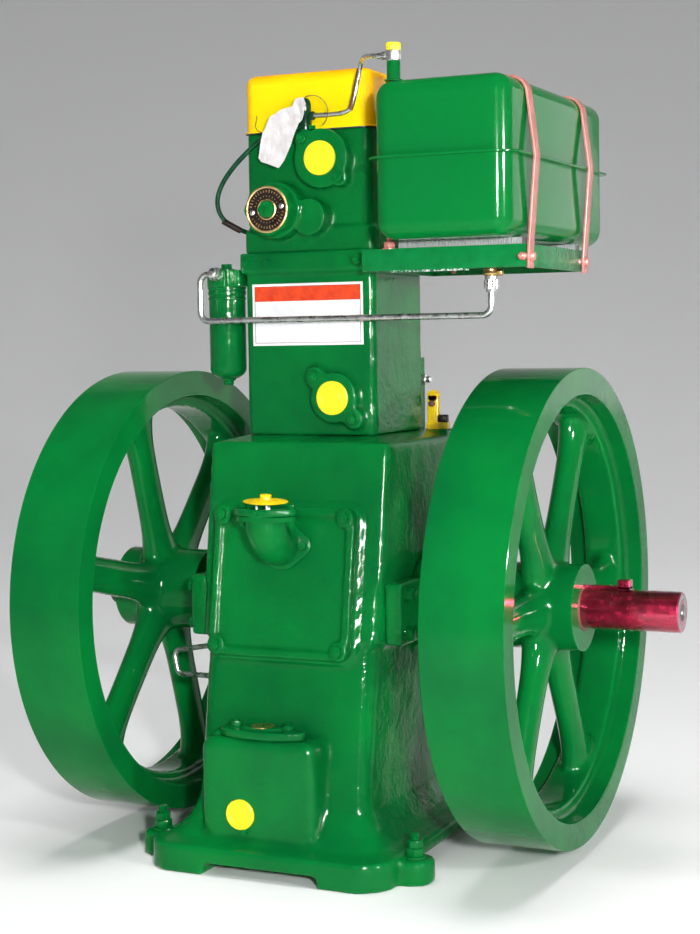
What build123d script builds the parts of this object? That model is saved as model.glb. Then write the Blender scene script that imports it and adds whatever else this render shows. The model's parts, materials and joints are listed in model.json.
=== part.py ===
from build123d import *
import math
import os

os.makedirs("parts", exist_ok=True)

# Vertical single-cylinder diesel engine with two flywheels, sizes in millimetres.
# X runs along the crankshaft to the drive end, Y to the rear, Z up from the feet.

# Crank line and flywheels
crank_height = 318
wheel_diameter = 600
wheel_width = 102
wheel_rim = 33
wheel_ring_depth = 15
wheel_ring_width = 52
wheel_ring_lap = 1
wheel_spread = 552.8
wheel_shift = 11
hub_diameter = 109
hub_inboard = 22
spoke_count = 6
spoke_width = 52
spoke_depth = 36
spoke_root_width = 78
spoke_root_depth = 48
spoke_tip_width = 48
spoke_tip_depth = 32
spoke_flare_width = 64
spoke_end_width = 110
spoke_end_depth = 44
spoke_sink = 12
spoke_foot = 28
spoke_neck = 62
spoke_flare = 16
spoke_bury = 8
left_wheel_turn = 12.5
shaft_diameter = 51.6
output_seat_diameter = 50.8
output_seat_length = 62
shaft_chamfer = 1.5
centre_hole = 8
centre_depth = 10
shaft_reach = 124
shaft_stub = 28
shaft_fit = 0.05
wheel_fit = 0.02
key_width = 14
key_rise = 9
key_sink = 5
key_length = 60
key_head = 16
key_head_rise = 12
key_seat = 40
key_fit = 0.05
left_key_setback = 4

# Crankcase
case_top = 528
case_width = 250
case_top_depth = 236
shoulder = 8
block_seat_lip = 2
band_over_crank = 36
band_under_crank = 35
band_width = 244
lower_width = 236
upper_corner = 7
band_corner = 10
lower_corner = 22
foot_flare_top = 105
base_thickness = 34
base_width = 332
base_depth = 498
toe_margin = 46.52
base_corner = 46
relief = 15
foot_inner_x = 78
foot_inner_y = 140
bolt_spacing_x = 352
bolt_spacing_y = 346
bolt_hole = 18
lug_radius = 25
lug_thickness = 30

# Sump bulge on the front
sump_x = -14
sump_width = 156
sump_bottom = 44
sump_top = 168
sump_setback = 27
sump_root = 40
sump_round = 14
sump_edge_round = 10
sump_cover_width = 116
sump_cover_depth = 42
sump_cover_thickness = 10
sump_cover_setback = 1
sump_boss_width = 58
sump_boss_depth = 28
sump_boss_rise = 4
sump_plug_x = -36
sump_plug_z = 74
sump_plug_diameter = 38
plug_proud = 4

# Doors
door_x = -5
door_z = 354
door_width = 194
door_height = 188
door_corner = 13
door_thickness = 9
door_pad = 6
pad_root = 3
pad_margin = 4
door_bead = 10
door_bead_corner = 7
door_bead_rise = 4
door_boss = 24
door_boss_rise = 8
door_boss_inset = 12

# Filler elbow on the front door
elbow_rise = 46
elbow_diameter = 50
elbow_bore = 38
elbow_reach = 46
elbow_height = 44
elbow_bend = 34
elbow_bore_depth = 18
elbow_flange_width = 82
elbow_flange_height = 62
elbow_flange_ear = 22
elbow_flange_thickness = 7
mouth_width = 82
mouth_depth = 54
mouth_thickness = 9
cap_diameter = 60
cap_thickness = 4
cap_lift = 6
cap_fit = 0.2
cap_knob = 13
cap_knob_rise = 7

# Bearing housings
housing_depth = 276
housing_height = 78
housing_corner = 6
housing_thickness = 22
housing_boss = 128
housing_boss_reach = 20
housing_boss_step = 6
housing_boss_taper = 12
case_bore = 66

# Cylinder block
block_width = 182
block_depth = 162
block_top = 770
block_corner = 9
flange_band = 26
flange_step = 6
inlet_x = 39
inlet_z = 584
inlet_boss = 64
inlet_ear = 26
inlet_rise = 14
stud_offset = 27
ear_angle = -45
plug_diameter = 43

# Cylinder head and rocker cover
head_height = 152
head_slab = 30
head_step = 4
head_corner = 9
outlet_x = 27
outlet_z = 885
outlet_boss = 74
outlet_rise = 14
outlet_ear = 22
outlet_stud_offset = 25
cover_width = 178
cover_depth = 156
cover_height = 75
cover_round = 14
cover_top_round = 12
rear_port_x = 42
rear_port_z = 860
rear_port_width = 70
rear_port_height = 86
rear_port_rise = 12
rear_port_bore = 34
rear_port_corner = 12
rear_port_depth = 32

# Change-over valve
valve_x = -35
valve_z = 822
valve_boss = 72
valve_boss_rise = 24
valve_lock_x = 11
valve_lock_z = 812
valve_lock = 46
valve_lock_rise = 20
handwheel_diameter = 66
handwheel_thickness = 14
handwheel_stem = 20
handwheel_gap = 3
handwheel_lobes = 8
handwheel_hollow = 12
handwheel_hollow_depth = 3
dial_diameter = 58
dial_rise = 2
knob_diameter = 24
knob_rise = 8

# Injector and its pipes
injector_x = 4
injector_diameter = 16
injector_top = 962
injector_reach = 14
inlet_nut_z = 932
leak_nut_z = 939
injector_shoulder = 16
injector_boss = 14
injector_gap = 2
small_pipe = 6
union_nut = 9
leak_pipe = 5
injection_bend = 14
leak_bend = 8

# Fuel tank and its bracket
tank_left = 140
tank_right = 310
tank_front = -193
tank_rear = 188
tank_bottom = 775
tank_top = 961
tank_seam = 870
tank_round = 22
tank_end_round = 21
tank_wall = 2
seam_lip = 9
seam_thickness = 1.6
packing = 8
packing_width = 19
packing_setback = 1
packing_inset = 6
rail_height = 27
rail_leg = 20
rail_thickness = 4
rail_inset = 3
strap_front = -122
strap_rear = 92
strap_width = 18
strap_thickness = 3
strap_gap = 1
strap_kink = 14
strap_kink_inner = 4
strap_kink_rise = 26
strap_kink_flat = 6
strap_tail = 2
strap_hanger_rise = 14
stud_diameter = 8
stud_rise = 22
stud_gap = 0.2
fitting_x = 160
fitting_y = -168
fitting_stub = 16
fitting_stub_rise = 24
fitting_nut = 9.5
fitting_nut_rise = 13
fitting_cap = 18
fitting_cap_rise = 8

# Fuel tap, pipe and filter
tap_x = 255
tap_y = -100
tap_shank = 12
tap_collar = 18
tap_collar_height = 9
tap_nut = 9.5
tap_nut_height = 15
fuel_pipe_diameter = 8
fuel_bend = 12
pipe_run_z = 684
pipe_left = -146
filter_x = -128
filter_y = -60
filter_diameter = 48
filter_top = 738
filter_bottom = 606
filter_head_drop = 10
filter_head_height = 22
filter_head_lip = 2
filter_dome_rise = 12
filter_dome_radius = 20
filter_drain = 16
filter_drain_drop = 6
filter_lug_width = 18
filter_lug_shift = 5
banjo_rise = 6
banjo_length = 14

# Oil pipe and level plug on the left side of the case
oil_y = -92
oil_top_drop = 58
oil_union_drop = 101
oil_bow = 84
oil_start = 14
oil_fall = 12
oil_hook = 6
oil_bend = 9
oil_pipe_diameter = 7
oil_nut = 10
union_reach = 32
level_y = -100
level_z = 120
level_reach = 22

# Rear running gear
pump_x = 50
pump_width = 62
pump_depth = 30
pump_neck = 24
pump_height = 96
pump_gap = 4
pump_corner = 5
pump_neck_diameter = 24
rod_spacing = 46
rod_x = -30
rod_gap = 16
rod_boss_depth = 32
rod_boss_height = 24
rod_boss_corner = 8
rod_seat_drop = 12
ledge_x = 25
ledge_width = 196
rod_diameter = 14
lever_x = 99
lever_rise = 52
lever_foot = 9
lever_width = 16
lever_thickness = 9
lever_foot_width = 30
lever_foot_shift = 6
lever_foot_corner = 4

# Paper tag
tag_x = -21
tag_z = 924
tag_lean = 34
tag_width = 34
tag_length = 72
tag_thickness = 1
tag_gap = 0.3
tag_corner = 4

# Worked-out places
wheel_radius = wheel_diameter / 2
shaft_radius = shaft_diameter / 2
wheel_right_x = wheel_shift + wheel_spread / 2
wheel_left_x = wheel_shift - wheel_spread / 2
wheel_outer_right = wheel_right_x + wheel_width / 2
wheel_outer_left = wheel_left_x - wheel_width / 2
shaft_right_end = wheel_outer_right + shaft_reach
shaft_left_end = wheel_outer_left - shaft_stub
band_top = crank_height + band_over_crank
band_bottom = crank_height - band_under_crank
case_slope = (base_depth / 2 - toe_margin - case_top_depth / 2) / case_top
slope_angle = math.degrees(math.atan(case_slope))
block_front = block_depth / 2
sump_reach = base_depth / 2 - sump_setback
head_bottom = block_top
head_top = head_bottom + head_height
cover_bottom = head_top
rail_top = tank_bottom - packing
injector_y = -(cover_depth / 2 + injector_diameter / 2 + injector_gap)
rod_top = head_bottom + head_slab - rod_seat_drop
rod_y = block_front + rod_gap
block_foot = case_top + shoulder
pump_y = block_front + pump_depth / 2 + pump_gap
pump_top = block_foot + pump_height + pump_neck
banjo_x = filter_x + filter_lug_shift - banjo_length / 2
banjo_z = filter_top + banjo_rise


def front_of_case(height):
    """Distance of the sloping front face from the crank line at a height."""
    return case_top_depth / 2 + case_slope * (case_top - height)


def write_piece(builder, name):
    """Label a finished piece and write it as its own file."""
    builder.part.label = name
    export_step(builder.part, f"parts/{name}.step")


# Crankcase: sloping box, band at the crank line, lower body, flared foot and sump
case_levels = [
    (band_top, case_top, case_width, upper_corner),
    (band_bottom, band_top, band_width, band_corner),
    (foot_flare_top, band_bottom, lower_width, lower_corner),
]
with BuildPart() as crankcase:
    for low, high, width, corner in case_levels:
        with BuildSketch(Plane.XY.offset(low)):
            RectangleRounded(width, 2 * front_of_case(low), corner)
        with BuildSketch(Plane.XY.offset(high)):
            RectangleRounded(width, 2 * front_of_case(high), corner)
        loft()
    # Sloping shoulder under the cylinder block
    with BuildSketch(Plane.XY.offset(case_top)):
        RectangleRounded(case_width, case_top_depth, upper_corner)
    with BuildSketch(Plane.XY.offset(case_top + shoulder)):
        RectangleRounded(block_width + 2 * block_seat_lip, block_depth + 2 * block_seat_lip, block_corner)
    loft()
    # Hollow flare from the body down to the base
    flare_rise = foot_flare_top - base_thickness
    flare_steps = 4
    for step in range(flare_steps):
        for part_of_flare in (step, step + 1):
            turn = math.radians(90 * part_of_flare / flare_steps)
            spread = 1 - math.cos(turn)
            height = foot_flare_top - flare_rise * math.sin(turn)
            depth = 2 * front_of_case(foot_flare_top)
            with BuildSketch(Plane.XY.offset(height)):
                RectangleRounded(
                    lower_width + (base_width - lower_width) * spread,
                    depth + (base_depth - depth) * spread,
                    lower_corner + (base_corner - lower_corner) * spread,
                )
        loft()
    with BuildSketch(Plane.XY):
        RectangleRounded(base_width, base_depth, base_corner)
    extrude(amount=base_thickness)
    # Foot lugs
    with BuildSketch(Plane.XY):
        with GridLocations(bolt_spacing_x, bolt_spacing_y, 2, 2):
            Circle(lug_radius)
        with GridLocations(bolt_spacing_x - 2 * lug_radius, bolt_spacing_y, 2, 2):
            Rectangle(2 * lug_radius, 2 * lug_radius)
    extrude(amount=lug_thickness)
    # Sump bulge
    with BuildSketch(Plane.XZ.offset(front_of_case(sump_top) - sump_root)):
        with Locations((sump_x, (sump_bottom + sump_top) / 2)):
            RectangleRounded(sump_width, sump_top - sump_bottom, sump_round)
    extrude(amount=sump_reach - front_of_case(sump_top) + sump_root)
    bulge_front = crankcase.faces().filter_by(Plane.XZ).group_by(Axis.Y)[1]
    fillet(bulge_front.edges(), sump_edge_round)
    # Pads for the two doors
    for side in (-1, 1):
        face_y = side * front_of_case(door_z)
        door_normal = (0, side * math.cos(math.radians(slope_angle)), math.sin(math.radians(slope_angle)))
        case_face = Plane(origin=(door_x, face_y, door_z), x_dir=(1, 0, 0), z_dir=door_normal)
        with BuildSketch(case_face.offset(-pad_root)):
            RectangleRounded(
                door_width + 2 * pad_margin,
                door_height + 2 * pad_margin,
                door_corner + pad_margin,
            )
        extrude(amount=door_pad + pad_root)
    # Machined pads for the bearing housings
    with BuildSketch(Plane.YZ):
        with Locations((0, crank_height)):
            RectangleRounded(housing_depth, housing_height, housing_corner)
            Circle(housing_boss / 2)
    extrude(amount=case_width / 2, both=True)
    # Level ledge behind the block for the pump, the push rods and the stop lever
    with BuildSketch(Plane.XY.offset(case_top)):
        with Locations((ledge_x, (block_front + case_top_depth / 2) / 2)):
            Rectangle(ledge_width, case_top_depth / 2 - block_front)
    extrude(amount=shoulder)
    # Relief between the feet, foot bolt holes and the way through for the shaft
    Box(2 * foot_inner_x, 2 * base_depth, 2 * relief, mode=Mode.SUBTRACT)
    Box(2 * base_width, 2 * foot_inner_y, 2 * relief, mode=Mode.SUBTRACT)
    with Locations(Plane.XY.offset(lug_thickness)):
        with GridLocations(bolt_spacing_x, bolt_spacing_y, 2, 2):
            Hole(bolt_hole / 2, depth=lug_thickness)
    with BuildSketch(Plane.YZ):
        with Locations((0, crank_height)):
            Circle(case_bore / 2)
    extrude(amount=case_width, both=True, mode=Mode.SUBTRACT)
write_piece(crankcase, "crankcase")

# Doors on the front and rear, each a plate with a raised bead and four corner bosses
for door_name, side in (("crankcase_door_front", -1), ("crankcase_door_rear", 1)):
    door_normal = (0, side * math.cos(math.radians(slope_angle)), math.sin(math.radians(slope_angle)))
    pad_origin = Vector(door_x, side * front_of_case(door_z), door_z) + Vector(*door_normal) * door_pad
    door_plane = Plane(origin=pad_origin, x_dir=(1, 0, 0), z_dir=door_normal)
    with BuildPart() as crankcase_door:
        with BuildSketch(door_plane):
            RectangleRounded(door_width, door_height, door_corner)
        extrude(amount=door_thickness)
        with BuildSketch(door_plane.offset(door_thickness)):
            RectangleRounded(door_width, door_height, door_corner)
            RectangleRounded(
                door_width - 2 * door_bead,
                door_height - 2 * door_bead,
                door_bead_corner,
                mode=Mode.SUBTRACT,
            )
        extrude(amount=door_bead_rise)
        with BuildSketch(door_plane.offset(door_thickness)):
            with GridLocations(
                door_width - 2 * door_boss_inset,
                door_height - 2 * door_boss_inset,
                2,
                2,
            ):
                Circle(door_boss / 2)
        extrude(amount=door_boss_rise)
    write_piece(crankcase_door, door_name)

# Oil filler elbow: flange on the door, bend and oval mouth
front_normal = Vector(0, -math.cos(math.radians(slope_angle)), math.sin(math.radians(slope_angle)))
elbow_up = Vector(0, math.sin(math.radians(slope_angle)), math.cos(math.radians(slope_angle)))
door_face = Vector(door_x, -front_of_case(door_z), door_z) + front_normal * (door_pad + door_thickness)
elbow_start = door_face + elbow_up * elbow_rise
elbow_plane = Plane(origin=elbow_start, x_dir=(1, 0, 0), z_dir=front_normal)
elbow_corner = elbow_start + front_normal * elbow_reach
mouth_z = elbow_corner.Z + elbow_height
with BuildPart() as filler_elbow:
    with BuildLine() as elbow_route:
        FilletPolyline(
            elbow_start,
            elbow_corner,
            Vector(elbow_corner.X, elbow_corner.Y, mouth_z),
            radius=elbow_bend,
        )
    with BuildSketch(elbow_plane):
        Circle(elbow_diameter / 2)
    sweep()
    with BuildSketch(elbow_plane):
        Circle(elbow_flange_height / 2)
        with GridLocations(elbow_flange_width - elbow_flange_ear, 0, 2, 1):
            Circle(elbow_flange_ear / 2)
        make_hull()
    extrude(amount=elbow_flange_thickness)
    with BuildSketch(Plane.XY.offset(mouth_z - mouth_thickness)):
        with Locations((elbow_corner.X, elbow_corner.Y)):
            Ellipse(mouth_width / 2, mouth_depth / 2)
    extrude(amount=mouth_thickness)
    with BuildSketch(Plane.XY.offset(mouth_z)):
        with Locations((elbow_corner.X, elbow_corner.Y)):
            Circle(elbow_bore / 2)
    extrude(amount=-elbow_bore_depth, mode=Mode.SUBTRACT)
write_piece(filler_elbow, "filler_elbow")

# Filler cap, a disc with a knob standing on a plug in the mouth
with BuildPart() as filler_cap:
    with BuildSketch(Plane.XY.offset(mouth_z - mouth_thickness)):
        with Locations((elbow_corner.X, elbow_corner.Y)):
            Circle(elbow_bore / 2 - cap_fit)
    extrude(amount=mouth_thickness + cap_lift)
    with BuildSketch(Plane.XY.offset(mouth_z + cap_lift)):
        with Locations((elbow_corner.X, elbow_corner.Y)):
            Circle(cap_diameter / 2)
    extrude(amount=cap_thickness)
    with BuildSketch(Plane.XY.offset(mouth_z + cap_lift + cap_thickness)):
        with Locations((elbow_corner.X, elbow_corner.Y)):
            Circle(cap_knob / 2)
    extrude(amount=cap_knob_rise)
write_piece(filler_cap, "filler_cap")

# Oval cover standing on the sump bulge
cover_y = -(sump_reach - sump_cover_depth / 2 - sump_cover_setback)
with BuildPart() as sump_cover:
    with BuildSketch(Plane.XY.offset(sump_top)):
        with Locations((sump_x, cover_y)):
            Ellipse(sump_cover_width / 2, sump_cover_depth / 2)
    extrude(amount=sump_cover_thickness)
    with BuildSketch(Plane.XY.offset(sump_top + sump_cover_thickness)):
        with Locations((sump_x, cover_y)):
            Ellipse(sump_boss_width / 2, sump_boss_depth / 2)
    extrude(amount=sump_boss_rise)
write_piece(sump_cover, "sump_cover")

with BuildPart() as sump_drain_plug:
    with BuildSketch(Plane.XZ.offset(sump_reach)):
        with Locations((sump_plug_x, sump_plug_z)):
            Circle(sump_plug_diameter / 2)
    extrude(amount=plug_proud)
write_piece(sump_drain_plug, "sump_drain_plug")

# Bearing housings: a square pad on each side of the case and a round boss round the shaft
for housing_name, side in (("bearing_housing_left", -1), ("bearing_housing_right", 1)):
    side_plane = Plane.YZ.offset(side * case_width / 2)
    with BuildPart() as bearing_housing:
        with BuildSketch(side_plane):
            with Locations((0, crank_height)):
                RectangleRounded(housing_depth, housing_height, housing_corner)
                Circle(housing_boss / 2)
        extrude(amount=side * housing_thickness)
        with BuildSketch(side_plane.offset(side * housing_thickness)):
            with Locations((0, crank_height)):
                Circle(housing_boss / 2 - housing_boss_step)
        extrude(amount=side * housing_boss_reach, taper=housing_boss_taper)
        with BuildSketch(side_plane):
            with Locations((0, crank_height)):
                Circle(shaft_radius + shaft_fit)
        extrude(amount=side * (housing_thickness + housing_boss_reach), mode=Mode.SUBTRACT)
    write_piece(bearing_housing, housing_name)

# Cylinder block with its top band and the cooling water inlet flange
with BuildPart() as cylinder_block:
    with BuildSketch(Plane.XY.offset(case_top + shoulder)):
        RectangleRounded(block_width, block_depth, block_corner)
    extrude(amount=block_top - case_top - shoulder)
    with BuildSketch(Plane.XY.offset(block_top - flange_band)):
        RectangleRounded(block_width + 2 * flange_step, block_depth + 2 * flange_step, block_corner)
    extrude(amount=flange_band)
    with BuildSketch(Plane.XZ.offset(block_front)):
        with Locations((inlet_x, inlet_z)):
            Circle(inlet_boss / 2)
        with Locations((inlet_x, inlet_z)):
            SlotCenterToCenter(2 * stud_offset * math.sqrt(2), inlet_ear, rotation=ear_angle)
    extrude(amount=inlet_rise)
write_piece(cylinder_block, "cylinder_block")

with BuildPart() as block_water_plug:
    with BuildSketch(Plane.XZ.offset(block_front + inlet_rise)):
        with Locations((inlet_x, inlet_z)):
            Circle(plug_diameter / 2)
    extrude(amount=plug_proud)
write_piece(block_water_plug, "block_water_plug")

# Cylinder head with the water outlet, the valve bosses and the rear ports
with BuildPart() as cylinder_head:
    with BuildSketch(Plane.XY.offset(head_bottom)):
        RectangleRounded(block_width, block_depth, head_corner)
    extrude(amount=head_slab)
    with BuildSketch(Plane.XY.offset(head_bottom + head_slab)):
        RectangleRounded(block_width - 2 * head_step, block_depth - 2 * head_step, head_corner)
    extrude(amount=head_height - head_slab)
    with BuildSketch(Plane.XZ.offset(block_front - head_step)):
        with Locations((outlet_x, outlet_z)):
            Circle(outlet_boss / 2)
            SlotCenterToCenter(2 * outlet_stud_offset * math.sqrt(2), outlet_ear, rotation=ear_angle)
    extrude(amount=outlet_rise + head_step)
    # Injector boss
    with BuildSketch(Plane.XY.offset(head_top - injector_boss)):
        with Locations((injector_x, injector_y)):
            Circle(injector_shoulder / 2)
    extrude(amount=injector_boss)
    # Boss over the push rods
    with BuildSketch(Plane.XY.offset(rod_top)):
        with Locations((rod_x, block_front + rod_boss_depth / 2 - head_step)):
            RectangleRounded(rod_spacing + rod_boss_depth, rod_boss_depth, rod_boss_corner)
    extrude(amount=rod_boss_height)
    with BuildSketch(Plane.XZ.offset(block_front - head_step)):
        with Locations((valve_x, valve_z)):
            Circle(valve_boss / 2)
    extrude(amount=valve_boss_rise + head_step)
    with BuildSketch(Plane.XZ.offset(block_front - head_step)):
        with Locations((valve_lock_x, valve_lock_z)):
            Circle(valve_lock / 2)
    extrude(amount=valve_lock_rise + head_step)
    with BuildSketch(Plane.XZ.offset(-(block_front - head_step))):
        with Locations((rear_port_x, rear_port_z), (-rear_port_x, rear_port_z)):
            RectangleRounded(rear_port_width, rear_port_height, rear_port_corner)
    extrude(amount=-rear_port_rise - head_step)
    with BuildSketch(Plane.XZ.offset(-(block_front + rear_port_rise))):
        with Locations((rear_port_x, rear_port_z), (-rear_port_x, rear_port_z)):
            Circle(rear_port_bore / 2)
    extrude(amount=rear_port_depth, mode=Mode.SUBTRACT)
write_piece(cylinder_head, "cylinder_head")

with BuildPart() as head_water_plug:
    with BuildSketch(Plane.XZ.offset(block_front + outlet_rise)):
        with Locations((outlet_x, outlet_z)):
            Circle(plug_diameter / 2)
    extrude(amount=plug_proud)
write_piece(head_water_plug, "head_water_plug")

# Rocker cover, a pressed box with round upper edges
with BuildPart() as rocker_cover:
    with BuildSketch(Plane.XY.offset(cover_bottom)):
        RectangleRounded(cover_width, cover_depth, cover_round)
    extrude(amount=cover_height)
    fillet(rocker_cover.faces().sort_by(Axis.Z)[-1].edges(), cover_top_round)
write_piece(rocker_cover, "rocker_cover")

# Handwheel of the change-over valve, with hollows round its rim for the fingers, and its dial
hollow_circle = handwheel_diameter / 2 + handwheel_hollow - handwheel_hollow_depth
handwheel_back = block_front + valve_boss_rise + handwheel_gap
with BuildPart() as changeover_handwheel:
    with BuildSketch(Plane.XZ.offset(block_front + valve_boss_rise)):
        with Locations((valve_x, valve_z)):
            Circle(handwheel_stem / 2)
    extrude(amount=handwheel_gap)
    with BuildSketch(Plane.XZ.offset(handwheel_back)):
        with Locations((valve_x, valve_z)):
            Circle(handwheel_diameter / 2)
            with PolarLocations(hollow_circle, handwheel_lobes):
                Circle(handwheel_hollow, mode=Mode.SUBTRACT)
    extrude(amount=handwheel_thickness)
    with BuildSketch(Plane.XZ.offset(handwheel_back + handwheel_thickness)):
        with Locations((valve_x, valve_z)):
            Circle(dial_diameter / 2)
    extrude(amount=dial_rise)
    with BuildSketch(Plane.XZ.offset(handwheel_back + handwheel_thickness + dial_rise)):
        with Locations((valve_x, valve_z)):
            Circle(knob_diameter / 2)
    extrude(amount=knob_rise)
write_piece(changeover_handwheel, "changeover_handwheel")

# Injector standing on the outlet boss in front of the rocker cover
with BuildPart() as injector:
    with BuildSketch(Plane.XY.offset(head_top)):
        with Locations((injector_x, injector_y)):
            Circle(injector_diameter / 2)
    extrude(amount=injector_top - head_top)
    for side, height, radius in ((-1, inlet_nut_z, small_pipe), (1, leak_nut_z, leak_pipe)):
        with BuildSketch(Plane.YZ.offset(injector_x)):
            with Locations((injector_y, height)):
                Circle(radius)
        extrude(amount=side * injector_reach)
write_piece(injector, "injector")

# High-pressure pipe from the injector round the left side to the pump at the rear
injection_points = [
    (injector_x - injector_reach, injector_y, inlet_nut_z),
    (-38, injector_y, inlet_nut_z),
    (-66, -91, 902),
    (-98, -96, 864),
    (-116, -92, 826),
    (-112, -70, 804),
    (-104, 0, 794),
    (-104, 96, 788),
    (-60, 122, 770),
    (pump_x, 122, 720),
    (pump_x, pump_y, 700),
    (pump_x, pump_y, pump_top),
]
with BuildPart() as injection_pipe:
    with BuildLine() as injection_route:
        FilletPolyline(*injection_points, radius=injection_bend)
    with BuildSketch(Plane(origin=injection_route.line @ 0, z_dir=injection_route.line % 0)):
        Circle(small_pipe / 2)
    sweep()
write_piece(injection_pipe, "injection_pipe")

# Leak-off pipe from the injector to the return fitting on the tank
leak_points = [
    (injector_x + injector_reach, injector_y, leak_nut_z),
    (62, injector_y, leak_nut_z),
    (73, injector_y, 952),
    (84, injector_y - 4, 994),
    (106, -124, 1004),
    (fitting_x - 30, fitting_y, 992),
    (fitting_x - fitting_nut, fitting_y, 992),
]
with BuildPart() as leak_off_pipe:
    with BuildLine() as leak_route:
        FilletPolyline(*leak_points, radius=leak_bend)
    with BuildSketch(Plane(origin=leak_route.line @ 0, z_dir=leak_route.line % 0)):
        Circle(leak_pipe / 2)
    sweep()
write_piece(leak_off_pipe, "leak_off_pipe")

# Return fitting on the tank: stub, union nut and yellow cap
with BuildPart() as tank_return_fitting:
    with BuildSketch(Plane.XY.offset(tank_top)):
        with Locations((fitting_x, fitting_y)):
            Circle(fitting_stub / 2)
    extrude(amount=fitting_stub_rise)
    with BuildSketch(Plane.XY.offset(tank_top + fitting_stub_rise)):
        with Locations((fitting_x, fitting_y)):
            RegularPolygon(fitting_nut, 6)
    extrude(amount=fitting_nut_rise)
write_piece(tank_return_fitting, "tank_return_fitting")

with BuildPart() as tank_return_cap:
    with BuildSketch(Plane.XY.offset(tank_top + fitting_stub_rise + fitting_nut_rise)):
        with Locations((fitting_x, fitting_y)):
            Circle(fitting_cap / 2)
    extrude(amount=fitting_cap_rise)
write_piece(tank_return_cap, "tank_return_cap")

# Fuel tank, two pressed halves joined at a flat seam
tank_x = (tank_left + tank_right) / 2
tank_y = (tank_front + tank_rear) / 2
tank_width = tank_right - tank_left
tank_depth = tank_rear - tank_front
tank_halves = [
    ("fuel_tank_lower", tank_seam, tank_bottom),
    ("fuel_tank_upper", tank_seam, tank_top),
]
for half_name, seam, end in tank_halves:
    height = abs(end - seam)
    outward = 1 if end > seam else -1
    with BuildPart() as tank_half:
        with BuildSketch(Plane.XY.offset(seam)):
            with Locations((tank_x, tank_y)):
                RectangleRounded(tank_width, tank_depth, tank_round)
        extrude(amount=outward * height)
        end_face = tank_half.faces().sort_by(Axis.Z)[-1 if outward > 0 else 0]
        fillet(end_face.edges(), tank_end_round)
        seam_face = tank_half.faces().sort_by(Axis.Z)[0 if outward > 0 else -1]
        offset(amount=-tank_wall, openings=seam_face)
        with BuildSketch(Plane.XY.offset(seam)):
            with Locations((tank_x, tank_y)):
                RectangleRounded(tank_width + 2 * seam_lip, tank_depth + 2 * seam_lip, tank_round + seam_lip)
                RectangleRounded(
                    tank_width - 2 * tank_wall,
                    tank_depth - 2 * tank_wall,
                    tank_round - tank_wall,
                    mode=Mode.SUBTRACT,
                )
        extrude(amount=outward * seam_thickness)
    write_piece(tank_half, half_name)

# Tank bracket: two angle rails, an end rail and a plate on the side of the block
rail_left = block_width / 2 + flange_step
rail_front = strap_front - strap_width / 2 + rail_inset
rail_rear = strap_rear + strap_width / 2 - rail_inset
with BuildPart() as tank_bracket:
    for outer, inward in ((rail_front, 1), (rail_rear, -1)):
        with BuildSketch(Plane.XY.offset(rail_top)):
            with Locations(((rail_left + tank_right) / 2, outer + inward * rail_thickness / 2)):
                Rectangle(tank_right - rail_left, rail_thickness)
        extrude(amount=-rail_height)
        with BuildSketch(Plane.XY.offset(rail_top)):
            with Locations(((rail_left + tank_right) / 2, outer + inward * rail_leg / 2)):
                Rectangle(tank_right - rail_left, rail_leg)
        extrude(amount=-rail_thickness)
    rail_mid = (rail_front + rail_rear) / 2
    for rail_x in (tank_right - rail_thickness / 2, rail_left + rail_thickness / 2):
        with BuildSketch(Plane.XY.offset(rail_top)):
            with Locations((rail_x, rail_mid)):
                Rectangle(rail_thickness, rail_rear - rail_front)
        extrude(amount=-rail_height)
write_piece(tank_bracket, "tank_bracket")

# Packing strips between the rails and the tank
packing_strips = [
    ("tank_packing_front", rail_front + packing_width / 2 + packing_setback),
    ("tank_packing_rear", rail_rear - packing_width / 2 - packing_setback),
]
for strip_name, strip_y in packing_strips:
    with BuildPart() as tank_packing:
        with BuildSketch(Plane.XY.offset(rail_top)):
            with Locations(((tank_left + tank_right) / 2, strip_y)):
                Rectangle(tank_right - tank_left - 2 * packing_inset, packing_width)
        extrude(amount=packing)
    write_piece(tank_packing, strip_name)

# Straps over the tank, stood off at the seam, with a hanger stud at the left end
strap_right = tank_right + strap_gap + strap_thickness / 2
strap_left = tank_left - strap_gap - strap_thickness / 2
strap_crown = tank_top + strap_thickness / 2
strap_points = [
    (strap_right, rail_top - rail_height - strap_tail),
    (strap_right, tank_seam - strap_kink_rise),
    (strap_right + seam_lip, tank_seam - strap_kink_flat),
    (strap_right + seam_lip, tank_seam + strap_kink_flat),
    (strap_right, tank_seam + strap_kink_rise),
    (strap_right, strap_crown),
    (strap_left, strap_crown),
    (strap_left, tank_seam + strap_kink_rise),
    (strap_left - seam_lip, tank_seam + strap_kink_flat),
    (strap_left - seam_lip, tank_seam - strap_kink_flat),
    (strap_left, tank_seam - strap_kink_rise),
    (strap_left, rail_top + strap_hanger_rise),
]
kink_radii = [strap_kink, strap_kink_inner, strap_kink_inner, strap_kink]
strap_radii = kink_radii + [tank_round, tank_round] + kink_radii
for strap_name, strap_y in (("tank_strap_front", strap_front), ("tank_strap_rear", strap_rear)):
    with BuildPart() as tank_strap:
        with BuildLine() as strap_route:
            FilletPolyline(*[(x, strap_y, z) for x, z in strap_points], radius=strap_radii)
        with BuildSketch(
            Plane(origin=strap_route.line @ 0, x_dir=(0, 1, 0), z_dir=strap_route.line % 0)
        ):
            Rectangle(strap_width, strap_thickness)
        sweep()
    write_piece(tank_strap, strap_name)

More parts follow.
